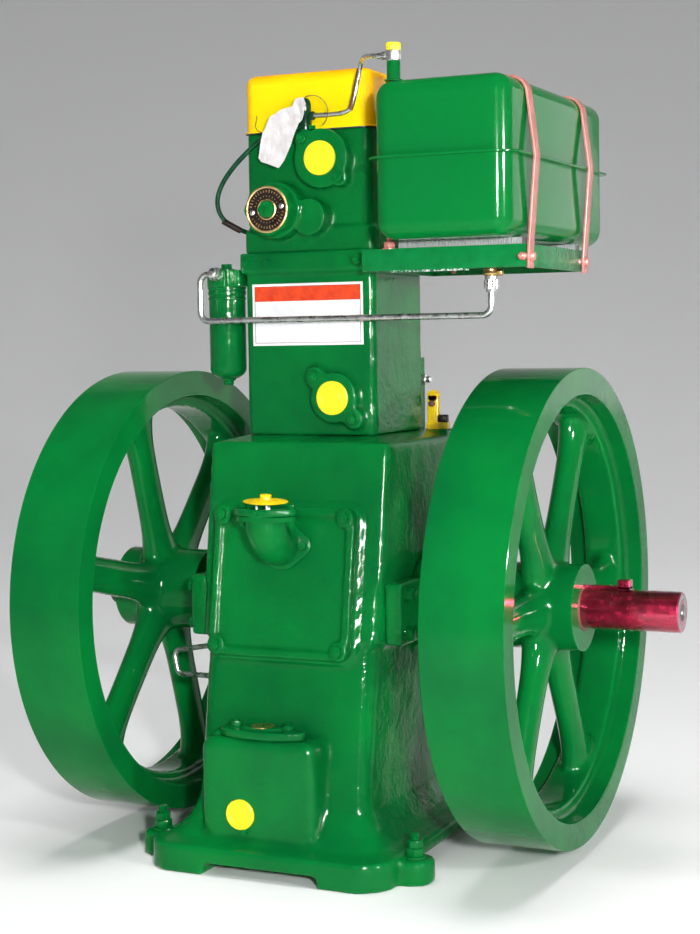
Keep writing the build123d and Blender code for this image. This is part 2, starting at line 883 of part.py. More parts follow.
stud_x = strap_left - strap_thickness / 2 - stud_diameter / 2
for stud_name, strap_y in (("strap_stud_front", strap_front), ("strap_stud_rear", strap_rear)):
    with BuildPart() as strap_stud:
        with BuildSketch(Plane.XY.offset(rail_top + stud_gap)):
            with Locations((stud_x, strap_y)):
                Circle(stud_diameter / 2)
        extrude(amount=stud_rise)
    write_piece(strap_stud, stud_name)

# Fuel tap under the tank with its bracket boss, then the pipe to the filter
tap_top = rail_top - rail_height
with BuildPart() as fuel_tap:
    with BuildSketch(Plane.XY.offset(tank_bottom)):
        with Locations((tap_x, tap_y)):
            Circle(tap_shank / 2)
    extrude(amount=-(tank_bottom - tap_top))
    with BuildSketch(Plane.XY.offset(tap_top)):
        with Locations((tap_x, tap_y)):
            Circle(tap_collar / 2)
    extrude(amount=-tap_collar_height)
write_piece(fuel_tap, "fuel_tap")

with BuildPart() as fuel_tap_nut:
    with BuildSketch(Plane.XY.offset(tap_top - tap_collar_height)):
        with Locations((tap_x, tap_y)):
            RegularPolygon(tap_nut, 6)
    extrude(amount=-tap_nut_height)
write_piece(fuel_tap_nut, "fuel_tap_nut")

pipe_points = [
    (tap_x, tap_y, tap_top - tap_collar_height - tap_nut_height),
    (tap_x, tap_y, pipe_run_z),
    (pipe_left, tap_y, pipe_run_z),
    (pipe_left, tap_y, banjo_z),
    (banjo_x, tap_y, banjo_z),
]
with BuildPart() as fuel_pipe:
    with BuildLine() as fuel_route:
        FilletPolyline(*pipe_points, radius=fuel_bend)
    with BuildSketch(Plane(origin=fuel_route.line @ 0, z_dir=fuel_route.line % 0)):
        Circle(fuel_pipe_diameter / 2)
    sweep()
write_piece(fuel_pipe, "fuel_pipe")

# Fuel filter: bowl with a domed bottom, and a head bolted to the block
bowl_top = filter_top - filter_head_drop
with BuildPart() as fuel_filter_bowl:
    with BuildSketch(Plane(origin=(filter_x, filter_y, 0), x_dir=(1, 0, 0), z_dir=(0, -1, 0))):
        with BuildLine():
            Polyline(
                (0, bowl_top),
                (filter_diameter / 2, bowl_top),
                (filter_diameter / 2, filter_bottom + filter_dome_rise),
            )
            RadiusArc(
                (filter_diameter / 2, filter_bottom + filter_dome_rise),
                (filter_drain / 2, filter_bottom),
                filter_dome_radius,
            )
            Polyline(
                (filter_drain / 2, filter_bottom),
                (filter_drain / 2, filter_bottom - filter_drain_drop),
                (0, filter_bottom - filter_drain_drop),
                (0, bowl_top),
            )
        make_face()
    revolve(axis=Axis((filter_x, filter_y, 0), (0, 0, 1)))
write_piece(fuel_filter_bowl, "fuel_filter_bowl")

filter_arm = (-block_width / 2 - flange_step - filter_x) / 2
with BuildPart() as fuel_filter_head:
    with BuildSketch(Plane.XY.offset(bowl_top)):
        with Locations((filter_x, filter_y)):
            Circle(filter_diameter / 2 + filter_head_lip)
        with Locations((filter_x + filter_arm, filter_y)):
            Rectangle(2 * filter_arm, filter_diameter)
        with Locations((filter_x + filter_lug_shift, (filter_y + tap_y + union_nut) / 2)):
            Rectangle(filter_lug_width, filter_y - tap_y - union_nut)
    extrude(amount=filter_head_height)
write_piece(fuel_filter_head, "fuel_filter_head")

# Banjo union where the fuel pipe meets the filter head
with BuildPart() as filter_banjo:
    with BuildSketch(Plane.YZ.offset(banjo_x)):
        with Locations((tap_y, banjo_z)):
            RegularPolygon(union_nut, 6)
    extrude(amount=banjo_length)
write_piece(filter_banjo, "filter_banjo")

# Oil pipe from the left side of the case to its union
case_side = -lower_width / 2
oil_top_z = crank_height - oil_top_drop
oil_union_z = crank_height - oil_union_drop
oil_points = [
    (case_side, oil_y, oil_top_z),
    (case_side - oil_start, oil_y, oil_top_z),
    (case_side - oil_bow, oil_y, oil_top_z - oil_fall),
    (case_side - oil_bow + oil_hook, oil_y, oil_union_z),
    (case_side - union_reach, oil_y, oil_union_z),
]
with BuildPart() as oil_pipe:
    with BuildLine() as oil_route:
        FilletPolyline(*oil_points, radius=oil_bend)
    with BuildSketch(Plane(origin=oil_route.line @ 0, z_dir=oil_route.line % 0)):
        Circle(oil_pipe_diameter / 2)
    sweep()
write_piece(oil_pipe, "oil_pipe")

with BuildPart() as oil_union:
    with BuildSketch(Plane.YZ.offset(case_side)):
        with Locations((oil_y, oil_union_z)):
            RegularPolygon(oil_nut, 6)
    extrude(amount=-union_reach)
write_piece(oil_union, "oil_union")

with BuildPart() as level_plug:
    with BuildSketch(Plane.YZ.offset(case_side)):
        with Locations((level_y, level_z)):
            RegularPolygon(union_nut, 6)
    extrude(amount=-level_reach)
write_piece(level_plug, "level_plug")

# Fuel pump and push rod tubes at the rear, between case and head
with BuildPart() as fuel_pump:
    with BuildSketch(Plane.XY.offset(block_foot)):
        with Locations((pump_x, pump_y)):
            RectangleRounded(pump_width, pump_depth, pump_corner)
    extrude(amount=pump_height)
    with BuildSketch(Plane.XY.offset(block_foot + pump_height)):
        with Locations((pump_x, pump_y)):
            Circle(pump_neck_diameter / 2)
    extrude(amount=pump_neck)
write_piece(fuel_pump, "fuel_pump")

for rod_number, rod_place in enumerate((-1, 1)):
    with BuildPart() as push_rod_tube:
        with BuildSketch(Plane.XY.offset(block_foot)):
            with Locations((rod_x + rod_place * rod_spacing / 2, rod_y)):
                Circle(rod_diameter / 2)
        extrude(amount=rod_top - block_foot)
    write_piece(push_rod_tube, f"push_rod_tube_{rod_number + 1}")

# Stop lever beside the pump
with BuildPart() as stop_lever:
    with BuildSketch(Plane.XY.offset(block_foot)):
        with Locations((lever_x + lever_foot_shift, rod_y)):
            RectangleRounded(lever_foot_width, lever_width, lever_foot_corner)
    extrude(amount=lever_foot)
    with BuildSketch(Plane.XY.offset(block_foot + lever_foot)):
        with Locations((lever_x, rod_y)):
            Rectangle(lever_width, lever_thickness)
    extrude(amount=lever_rise - lever_foot)
write_piece(stop_lever, "stop_lever")

# Paper tag hanging in front of the injector
tag_y = injector_y - injector_shoulder / 2 - tag_gap
with BuildPart() as paper_tag:
    with BuildSketch(Plane.XZ.offset(-tag_y)):
        with Locations((tag_x, tag_z)):
            RectangleRounded(tag_width, tag_length, tag_corner, rotation=-tag_lean)
    extrude(amount=tag_thickness)
write_piece(paper_tag, "paper_tag")

# Crankshaft with a centre hole and seats for the keys
with BuildPart() as crankshaft:
    with BuildSketch(Plane.YZ.offset(shaft_left_end)):
        with Locations((0, crank_height)):
            Circle(shaft_radius)
    extrude(amount=shaft_right_end - output_seat_length - shaft_left_end)
    with BuildSketch(Plane.YZ.offset(shaft_right_end - output_seat_length)):
        with Locations((0, crank_height)):
            Circle(output_seat_diameter / 2)
    extrude(amount=output_seat_length)
    shaft_ends = crankshaft.faces().filter_by(Plane.YZ).sort_by(Axis.X)
    chamfer(shaft_ends[0].edges() + shaft_ends[-1].edges(), shaft_chamfer)
    with BuildSketch(Plane.YZ.offset(shaft_right_end)):
        with Locations((0, crank_height)):
            Circle(centre_hole / 2)
    extrude(amount=-centre_depth, mode=Mode.SUBTRACT)
    key_floor = crank_height + shaft_radius - key_sink
    for near, far in (
        (wheel_outer_right - key_seat, wheel_outer_right + key_length),
        (shaft_left_end, wheel_outer_left + key_seat),
    ):
        with BuildSketch(Plane.XY.offset(key_floor)):
            with Locations(((near + far) / 2, 0)):
                Rectangle(far - near, key_width)
        extrude(amount=2 * key_sink, mode=Mode.SUBTRACT)
write_piece(crankshaft, "crankshaft")

# Gib-head key on the drive side and a plain key on the left
with BuildPart() as output_key:
    with BuildSketch(Plane.XY.offset(key_floor)):
        with Locations((wheel_outer_right + (key_length - key_seat) / 2, 0)):
            Rectangle(key_length + key_seat, key_width - 2 * key_fit)
    extrude(amount=key_rise)
    with BuildSketch(Plane.XY.offset(key_floor)):
        with Locations((wheel_outer_right + key_length - key_head / 2, 0)):
            Rectangle(key_head, key_width - 2 * key_fit)
    extrude(amount=key_sink + key_head_rise)
write_piece(output_key, "output_key")

left_key_start = shaft_left_end + left_key_setback
left_key_end = wheel_outer_left + key_seat
with BuildPart() as left_key:
    with BuildSketch(Plane.XY.offset(key_floor)):
        with Locations(((left_key_start + left_key_end) / 2, 0)):
            Rectangle(left_key_end - left_key_start, key_width - 2 * key_fit)
    extrude(amount=key_rise)
write_piece(left_key, "left_key")

# Flywheels: rim with an inner ring, six oval spokes that flare at both ends, and a hub
ring_radius = wheel_radius - wheel_rim - wheel_ring_depth
hub_radius = hub_diameter / 2
spoke_sections = [
    (hub_radius - spoke_sink, spoke_root_width, spoke_root_depth),
    (hub_radius + spoke_foot, spoke_width, spoke_depth),
    (ring_radius - spoke_neck, spoke_tip_width, spoke_tip_depth),
    (ring_radius - spoke_flare, spoke_flare_width, spoke_depth),
    (ring_radius + spoke_bury, spoke_end_width, spoke_end_depth),
]
wheels = [
    ("flywheel_left", wheel_left_x, -1, left_wheel_turn),
    ("flywheel_right", wheel_right_x, 1, 0),
]
for wheel_name, wheel_x, side, turn in wheels:
    wheel_plane = Plane(origin=(wheel_x, 0, crank_height), x_dir=(0, -1, 0), z_dir=(1, 0, 0))
    with BuildPart() as flywheel:
        with BuildSketch(wheel_plane):
            Circle(wheel_radius)
            Circle(wheel_radius - wheel_rim, mode=Mode.SUBTRACT)
        extrude(amount=wheel_width / 2, both=True)
        with BuildSketch(wheel_plane):
            Circle(wheel_radius - wheel_rim + wheel_ring_lap)
            Circle(ring_radius, mode=Mode.SUBTRACT)
        extrude(amount=wheel_ring_width / 2, both=True)
        with BuildSketch(wheel_plane.offset(side * wheel_width / 2)):
            Circle(hub_radius)
        extrude(amount=-side * (wheel_width + hub_inboard))
        for spoke in range(spoke_count):
            angle = math.radians(-turn + 360 * spoke / spoke_count)
            along = Vector(0, -math.cos(angle), -math.sin(angle))
            for radius, width, depth in spoke_sections:
                with BuildSketch(
                    Plane(
                        origin=Vector(wheel_x, 0, crank_height) + along * radius,
                        x_dir=(1, 0, 0),
                        z_dir=along,
                    )
                ):
                    Ellipse(depth / 2, width / 2)
            loft()
        with BuildSketch(wheel_plane.offset(side * wheel_width / 2)):
            Circle(shaft_radius + wheel_fit)
        extrude(amount=-side * (wheel_width + hub_inboard), mode=Mode.SUBTRACT)
        with BuildSketch(Plane.XY.offset(key_floor)):
            with Locations((wheel_x + side * (wheel_width - key_seat) / 2, 0)):
                Rectangle(key_seat, key_width)
        extrude(amount=key_rise + 2 * key_fit, mode=Mode.SUBTRACT)
    write_piece(flywheel, wheel_name)
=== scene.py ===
"""Looks of a vertical single-cylinder diesel engine with two flywheels, laid out as a Blender add-on."""

import json
import math

import bmesh
import bpy
from bpy.props import FloatProperty, FloatVectorProperty, IntProperty, PointerProperty
from mathutils import Matrix, Vector, noise

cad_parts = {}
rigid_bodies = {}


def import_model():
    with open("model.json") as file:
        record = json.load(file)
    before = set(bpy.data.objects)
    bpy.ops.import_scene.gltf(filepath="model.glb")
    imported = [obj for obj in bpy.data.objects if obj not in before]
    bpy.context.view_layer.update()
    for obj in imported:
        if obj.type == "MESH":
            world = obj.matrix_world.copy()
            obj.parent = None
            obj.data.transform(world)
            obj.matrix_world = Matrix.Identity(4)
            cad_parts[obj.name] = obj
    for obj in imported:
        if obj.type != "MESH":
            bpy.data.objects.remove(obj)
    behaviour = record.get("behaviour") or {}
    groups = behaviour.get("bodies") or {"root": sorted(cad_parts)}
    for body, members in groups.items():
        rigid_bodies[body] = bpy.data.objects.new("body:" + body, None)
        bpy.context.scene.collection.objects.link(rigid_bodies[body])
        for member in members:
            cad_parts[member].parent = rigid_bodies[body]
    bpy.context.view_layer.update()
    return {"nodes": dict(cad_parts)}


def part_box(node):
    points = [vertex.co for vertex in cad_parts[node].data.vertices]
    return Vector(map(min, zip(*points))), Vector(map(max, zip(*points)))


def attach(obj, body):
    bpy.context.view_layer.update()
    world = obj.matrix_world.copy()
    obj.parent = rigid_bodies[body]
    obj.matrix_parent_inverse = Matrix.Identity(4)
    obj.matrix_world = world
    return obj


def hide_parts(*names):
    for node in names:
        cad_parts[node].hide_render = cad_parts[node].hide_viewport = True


bl_info = {
    "name": "Vertical Diesel Engine",
    "version": (1, 0, 0),
    "blender": (4, 5, 0),
    "location": "View3D > Sidebar > Engine",
    "description": "Paint, fasteners and fittings of a single-cylinder diesel engine with two flywheels",
    "category": "Object",
}

for leftover in list(bpy.data.objects):
    bpy.data.objects.remove(leftover)
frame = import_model()

MM = 0.001
SAME = 0.001 * MM
FULL_TURN = 2 * math.pi
CREASE = math.radians(32)
WHEEL_CREASE = math.radians(42)
SHARP = math.radians(50)
CORNERS = ((-1, -1), (1, -1), (-1, 1), (1, 1))
UP = Vector((0, 0, 1))
FRONT = Vector((0, -1, 0))
REAR = Vector((0, 1, 0))
LEFT = Vector((-1, 0, 0))
RIGHT = Vector((1, 0, 0))

# Places that several pieces share, read from the frame
shaft_low, shaft_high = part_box("crankshaft")
crank_line = (shaft_low.z + shaft_high.z) / 2
door_low, door_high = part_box("crankcase_door_front")
block_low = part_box("cylinder_block")[0]
head_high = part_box("cylinder_head")[1]
cover_low, cover_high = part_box("rocker_cover")
tank_low, tank_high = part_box("fuel_tank_upper")
tank_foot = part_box("fuel_tank_lower")[0]
bracket_low, bracket_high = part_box("tank_bracket")
wheel_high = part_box("flywheel_right")[1]

# The row of bolts near the top of the block
RAIL_BOLTS = 757 * MM

# The turned rims of the wheels, and how far the castings lie under their skin
RIM_WIDTH = 102 * MM
RIM_DEPTH = 33 * MM
RIM_SKIN = 0.3 * MM

# The sloping faces of the crankcase that carry the doors
CASE_SLOPE = 0.16
CASE_TILT = math.atan(CASE_SLOPE)
CASE_TOP = 528 * MM
CASE_TOP_HALF = 118 * MM
DOOR_MIDDLE = 354 * MM
DOOR_FACE = 15 * MM
DOOR_BOSS = 23 * MM


# Settings


class EngineColours(bpy.types.PropertyGroup):
    """Colours of the paints and bare metals"""

    green: FloatVectorProperty(
        name="Green", description="Gloss enamel on the castings", subtype="COLOR",
        size=3, min=0, max=1, default=(0.0016, 0.178, 0.030))
    deep_green: FloatVectorProperty(
        name="Deep green", description="The same enamel where it lies thick", subtype="COLOR",
        size=3, min=0, max=1, default=(0.0015, 0.120, 0.026))
    yellow: FloatVectorProperty(
        name="Yellow", description="Enamel on the rocker cover and the lever", subtype="COLOR",
        size=3, min=0, max=1, default=(1.0, 0.84, 0.006))
    plug_yellow: FloatVectorProperty(
        name="Plug yellow", description="Moulded plugs in the water flanges", subtype="COLOR",
        size=3, min=0, max=1, default=(1.0, 0.86, 0.02))
    primer: FloatVectorProperty(
        name="Primer", description="Pink primer on the tank straps", subtype="COLOR",
        size=3, min=0, max=1, default=(0.60, 0.215, 0.170))
    lacquer: FloatVectorProperty(
        name="Lacquer", description="Clear red lacquer on the output shaft", subtype="COLOR",
        size=3, min=0, max=1, default=(0.56, 0.016, 0.070))
    steel: FloatVectorProperty(
        name="Steel", description="Plated steel of pipes and nuts", subtype="COLOR",
        size=3, min=0, max=1, default=(0.62, 0.62, 0.60))
    brass: FloatVectorProperty(
        name="Brass", description="Brass of the tap and the dial ring", subtype="COLOR",
        size=3, min=0, max=1, default=(0.55, 0.38, 0.14))


class EngineSizes(bpy.types.PropertyGroup):
    """Sizes that a user of the engine may change"""

    cast_round: IntProperty(
        name="Cast rounding", description="Smoothing passes that soften a casting's corners",
        default=5, min=0, max=30)
    cast_wave: FloatProperty(
        name="Cast wave", description="How far a cast face strays from flat",
        default=0.45 * MM, min=0, max=0.003, unit="LENGTH", precision=5)
    door_nut: FloatProperty(
        name="Door nut", description="Across the flats of the nuts on the doors",
        default=13 * MM, min=0.005, max=0.03, unit="LENGTH")
    foot_nut: FloatProperty(
        name="Foot nut", description="Across the flats of the nuts on the feet",
        default=20 * MM, min=0.01, max=0.05, unit="LENGTH")
    foot_stud: FloatProperty(
        name="Foot stud", description="Diameter of the studs in the feet",
        default=12 * MM, min=0.006, max=0.03, unit="LENGTH")


class StudioSettings(bpy.types.PropertyGroup):
    """Camera, lights and floor"""

    camera_place: FloatVectorProperty(
        name="Camera place", description="Where the camera stands", subtype="TRANSLATION",
        size=3, default=(0.9995, -2.1346, 0.6556))
    camera_turn: FloatVectorProperty(
        name="Camera turn", description="Pitch down, roll and heading of the camera", subtype="EULER",
        size=3, default=(math.radians(4.04), math.radians(-0.89), math.radians(24.69)))
    lens: FloatProperty(
        name="Lens", description="Focal length in millimetres", default=68.8, min=10, max=300)
    key_power: FloatProperty(
        name="Key power", description="Power of the main light in watts", default=50, min=0)
    fill_power: FloatProperty(
        name="Fill power", description="Power of the light on the left in watts", default=4, min=0)
    top_power: FloatProperty(
        name="Top power", description="Power of the light over the engine in watts", default=156, min=0)
    backdrop_power: FloatProperty(
        name="Backdrop power", description="Power of the light on the wall behind, in watts",
        default=26, min=0)
    edge_power: FloatProperty(
        name="Edge power", description="Power of the light on the upright corners, in watts",
        default=15, min=0)
    glint_power: FloatProperty(
        name="Glint power", description="Power of the small lights seen only in glossy paint, in watts",
        default=260, min=0)
    side_power: FloatProperty(
        name="Side power", description="Power of the panel that the right faces mirror, in watts",
        default=26, min=0)
    floor_radius: FloatProperty(
        name="Floor radius", description="Radius of the flat part of the floor",
        default=3.2, min=1, unit="LENGTH")


# Materials


class Finish:
    """One material and the short calls that wire its nodes"""

    def __init__(self, name, roughness=0.3, metallic=0.0, coat=0.0, coat_roughness=0.03, mirror=0.5):
        self.material = bpy.data.materials.new(name)
        self.material.use_nodes = True
        tree = self.material.node_tree
        self.nodes = tree.nodes
        self.links = tree.links
        self.shader = self.nodes["Principled BSDF"]
        self.shader.inputs["Roughness"].default_value = roughness
        self.shader.inputs["Metallic"].default_value = metallic
        self.shader.inputs["Specular IOR Level"].default_value = mirror
        self.shader.inputs["Coat Weight"].default_value = coat
        self.shader.inputs["Coat Roughness"].default_value = coat_roughness
        self.place = self.nodes.new("ShaderNodeTexCoord").outputs["Object"]
        self.normal = None

    def add(self, kind, inputs, **settings):
        """A node with its settings, and each input linked or set."""
        node = self.nodes.new(kind)
        for key, value in settings.items():
            setattr(node, key, value)
        for socket, value in inputs.items():
            if isinstance(value, bpy.types.NodeSocket):
                self.links.new(value, node.inputs[socket])
            else:
                node.inputs[socket].default_value = value
        return node

    def grain(self, scale, detail, rough=0.5, stretch=None):
        """Noise of about 1/scale metres, stretched where stretch gives three factors."""
        vector = self.place
        if stretch:
            vector = self.add("ShaderNodeMapping", {"Vector": self.place, "Scale": stretch}).outputs[0]
        inputs = {"Vector": vector, "Scale": scale, "Detail": detail, "Roughness": rough}
        return self.add("ShaderNodeTexNoise", inputs).outputs[0]

    def spread(self, value, low, high, to_low=0.0, to_high=1.0):
        """A value mapped from one range to another and held inside it."""
        inputs = {"Value": value, "From Min": low, "From Max": high, "To Min": to_low, "To Max": to_high}
        return self.add("ShaderNodeMapRange", inputs).outputs[0]

    def times(self, a, b):
        """The product of two values."""
        return self.add("ShaderNodeMath", {0: a, 1: b}, operation="MULTIPLY").outputs[0]

    def tint(self, factor, first, second):
        """A colour between two colours or colour sockets."""
        node = self.nodes.new("ShaderNodeMix")
        node.data_type = "RGBA"
        for index, value in ((0, factor), (6, first), (7, second)):
            if isinstance(value, bpy.types.NodeSocket):
                self.links.new(value, node.inputs[index])
            elif index == 0:
                node.inputs[index].default_value = value
            else:
                node.inputs[index].default_value = (*value, 1.0)
        return node.outputs[2]

    def patches(self, scale, detail, low, high, first, second):
        """Two colours in soft patches of about 1/scale metres."""
        return self.tint(self.spread(self.grain(scale, detail), low, high), first, second)

    def edges(self):
        """How far a point stands out on a corner, from 0 in a hollow to 1 on an edge."""
        pointiness = self.nodes.new("ShaderNodeNewGeometry").outputs["Pointiness"]
        return self.spread(pointiness, 0.44, 0.56)

    def bump(self, height, strength, depth):
        """Lay another bump over those before it."""
        inputs = {"Height": height, "Strength": strength, "Distance": depth}
        if self.normal:
            inputs["Normal"] = self.normal
        self.normal = self.add("ShaderNodeBump", inputs).outputs[0]

    def finished(self, colour, roughness=None):
        """The material, once its colour, roughness and bump reach the shader."""
        if isinstance(colour, bpy.types.NodeSocket):
            self.links.new(colour, self.shader.inputs["Base Color"])
        else:
            self.shader.inputs["Base Color"].default_value = (*colour, 1.0)
        if roughness:
            self.links.new(roughness, self.shader.inputs["Roughness"])
        if self.normal:
            self.links.new(self.normal, self.shader.inputs["Normal"])
        return self.material


def green_enamel(name, dents, grain, brush, corners=True):
    """Gloss green enamel over a casting, with dents, sand grain and brush marks under the gloss, and, where
    corners is set, painted shade in hollows and a painted highlight on edges.
    """
    colours = bpy.context.scene.engine_colours
    paint = Finish(name, roughness=0.2, mirror=0.11)
    colour = paint.patches(9, 4, 0.35, 0.7, colours.green, colours.deep_green)
    if corners:
        # Painted shade: hollows darkened towards a near-black green
        hollow = paint.spread(paint.edges(), 0.45, 0.0, 0.0, 0.55)
        colour = paint.tint(hollow, colour, (0.0008, 0.030, 0.008))
        # Painted highlight: edges lightened to a brighter green in patches
        worn_and_highlit = paint.times(paint.spread(paint.edges(), 0.75, 1.0, 0.0, 0.5), paint.grain(60, 2))
        colour = paint.tint(worn_and_highlit, colour, (0.012, 0.33, 0.10))
    paint.bump(paint.grain(38, 2, 0.4), dents, 2.2 * MM)
    paint.bump(paint.grain(140, 3, 0.6), grain, 1.6 * MM)
    if brush:
        paint.bump(paint.grain(30, 3, 0.6, (1.0, 1.0, 22.0)), brush, 0.5 * MM)
    rough = paint.spread(paint.grain(22, 4, 0.6), 0.3, 0.75, 0.05, 0.12)
    return paint.finished(colour, rough)


def smooth_enamel(name, colour, deep, dark, rim=None):
    """Sprayed enamel on pressed sheet: smooth, with orange peel and slow waves, and, where rim is given,
    painted shade in orange along the left, right and top edges.
    """
    paint = Finish(name, roughness=0.12, mirror=0.11)
    shade = paint.patches(5, 3, 0.35, 0.75, colour, deep)
    dust = paint.times(paint.spread(paint.grain(140, 5, 0.7), 0.66, 0.8), 0.35)
    shade = paint.tint(dust, shade, dark)
    if rim:
        low, high, width = rim
        axes = paint.add("ShaderNodeSeparateXYZ", {"Vector": paint.place}).outputs
        nearest = 0.0
        for axis, level, way in ((0, low.x, 1), (0, high.x, -1), (2, high.z, -1)):
            gap = paint.spread(axes[axis], level, level + way * width, 1.0, 0.0)
            nearest = paint.add("ShaderNodeMath", {0: gap, 1: nearest}, operation="MAXIMUM").outputs[0]
        # Painted shade: orange laid along the rim's edges, patchy
        rim_shade = paint.times(nearest, paint.spread(paint.grain(30, 3), 0.2, 0.6, 0.6, 1.0))
        shade = paint.tint(rim_shade, shade, (1.0, 0.36, 0.0015))
    paint.bump(paint.grain(9, 1, 0.3), 0.35, 4 * MM)
    paint.bump(paint.grain(420, 2, 0.5), 0.05, 0.4 * MM)
    rough = paint.spread(paint.grain(12, 3), 0.3, 0.8, 0.07, 0.18)
    return paint.finished(shade, rough)


def bare_metal(name, colour, rough, streaks=(1.0, 1.0, 1.0), tarnish=(0.25, 0.25, 0.24)):
    """Bare or plated metal with fine scratches and patches of tarnish."""
    metal = Finish(name, roughness=rough, metallic=1.0)
    patches = metal.spread(metal.grain(70, 5, 0.65), 0.48, 0.75, 0.0, 0.6)
    shade = metal.tint(patches, colour, tarnish)
    metal.bump(metal.grain(500, 2, 0.5, streaks), 0.12, 0.25 * MM)
    metal.bump(metal.grain(80, 2), 0.1, 0.6 * MM)
    gloss = metal.spread(metal.grain(120, 4, 0.6), 0.3, 0.75, rough * 0.7, min(1.0, rough * 1.7))
    return metal.finished(shade, gloss)


def red_lacquer(name, lumps):
    """Transparent red lacquer brushed over the turned shaft, pooled in streaks along it."""
    colours = bpy.context.scene.engine_colours
    lacquer = Finish(name, roughness=0.22, metallic=0.8, coat=1.0, coat_roughness=0.04)
    streak = lacquer.spread(lacquer.grain(55, 4, 0.65, (0.25, 1.0, 1.0)), 0.38, 0.68)
    shade = lacquer.tint(streak, colours.lacquer, (0.09, 0.002, 0.012))
    blot = lacquer.spread(lacquer.grain(38, 3, 0.6), 0.60, 0.80, 0.0, 0.3)
    shade = lacquer.tint(blot, shade, (0.72, 0.02, 0.03))
    lacquer.bump(lacquer.grain(160, 3, 0.6, (0.3, 1.0, 1.0)), 0.3, 0.5 * MM)
    lacquer.bump(lacquer.grain(120, 3, 0.6), lumps, 1.5 * MM)
    rough = lacquer.spread(lacquer.grain(90, 3), 0.3, 0.7, 0.12, 0.34)
    return lacquer.finished(shade, rough)


def strap_primer():
    """Pink primer on the straps, thin at the edges and scuffed to steel in specks."""
    colours = bpy.context.scene.engine_colours
    primer = Finish("strap_primer", roughness=0.45, coat=0.15, coat_roughness=0.2)
    shade = primer.patches(55, 4, 0.3, 0.7, colours.primer, (0.46, 0.12, 0.09))
    scuffs = primer.times(primer.spread(primer.grain(330, 4, 0.7), 0.63, 0.72), 0.6)
    shade = primer.tint(scuffs, shade, (0.55, 0.42, 0.38))
    primer.bump(primer.grain(380, 3), 0.15, 0.35 * MM)
    return primer.finished(shade, primer.spread(primer.grain(90, 3), 0.3, 0.7, 0.32, 0.55))


def moulded_plastic(name, colour, dark):
    """Moulded yellow plastic with a fine matt grain and slight scuffing."""
    plastic = Finish(name, roughness=0.38, mirror=0.2)
    plastic.shader.inputs["Subsurface Weight"].default_value = 0.08
    plastic.shader.inputs["Subsurface Radius"].default_value = (0.004, 0.003, 0.001)
    shade = plastic.tint(plastic.spread(plastic.grain(45, 4), 0.4, 0.75, 0.0, 0.5), colour, dark)
    plastic.bump(plastic.grain(600, 2), 0.08, 0.2 * MM)
    return plastic.finished(shade, plastic.spread(plastic.grain(120, 3), 0.3, 0.7, 0.3, 0.48))


def grey_rubber():
    """Grey packing with fine upright ribs and dust."""
    rubber = Finish("packing_rubber", roughness=0.75)
    shade = rubber.tint(rubber.grain(120, 5, 0.7), (0.11, 0.12, 0.12), (0.36, 0.38, 0.37))
    rubber.bump(rubber.grain(300, 3), 0.3, 0.4 * MM)
    return rubber.finished(shade)


def tag_paper():
    """White paper with soft creases and faint fibres."""
    paper = Finish("tag_paper", roughness=0.85, mirror=0.1)
    paper.shader.inputs["Subsurface Weight"].default_value = 0.15
    paper.shader.inputs["Subsurface Radius"].default_value = (0.002, 0.002, 0.002)
    fibres = paper.spread(paper.grain(60, 5, 0.6), 0.35, 0.8)
    shade = paper.tint(fibres, (0.84, 0.81, 0.82), (0.60, 0.55, 0.54))
    paper.bump(paper.grain(90, 4, 0.6), 0.5, 0.8 * MM)
    paper.bump(paper.grain(900, 2), 0.2, 0.15 * MM)
    return paper.finished(shade)


def drips_with_painted_glints():
    """Beads of green enamel with pale specks between them as painted highlights, under the edge of the tank
    rail.
    """
    drips = Finish("drips_with_painted_glints", roughness=0.15)
    # Painted highlight: the pale colour speckles the beads as glints
    shade = drips.tint(drips.spread(drips.grain(210, 4, 0.7), 0.42, 0.52), (0.80, 0.86, 0.83),
                       (0.003, 0.16, 0.05))
    drips.bump(drips.grain(240, 3, 0.6), 1.0, 1.5 * MM)
    return drips.finished(shade)


def plain_enamel(name, colour, dark, rough, metallic=0.0):
    """A smooth coloured finish for small pieces, slightly uneven."""
    enamel = Finish(name, roughness=rough, metallic=metallic, mirror=0.25)
    shade = enamel.patches(90, 4, 0.35, 0.75, colour, dark)
    enamel.bump(enamel.grain(450, 2), 0.08, 0.25 * MM)
    return enamel.finished(shade, enamel.spread(enamel.grain(60, 3), 0.3, 0.7, rough * 0.75, rough * 1.35))


finishes = {}


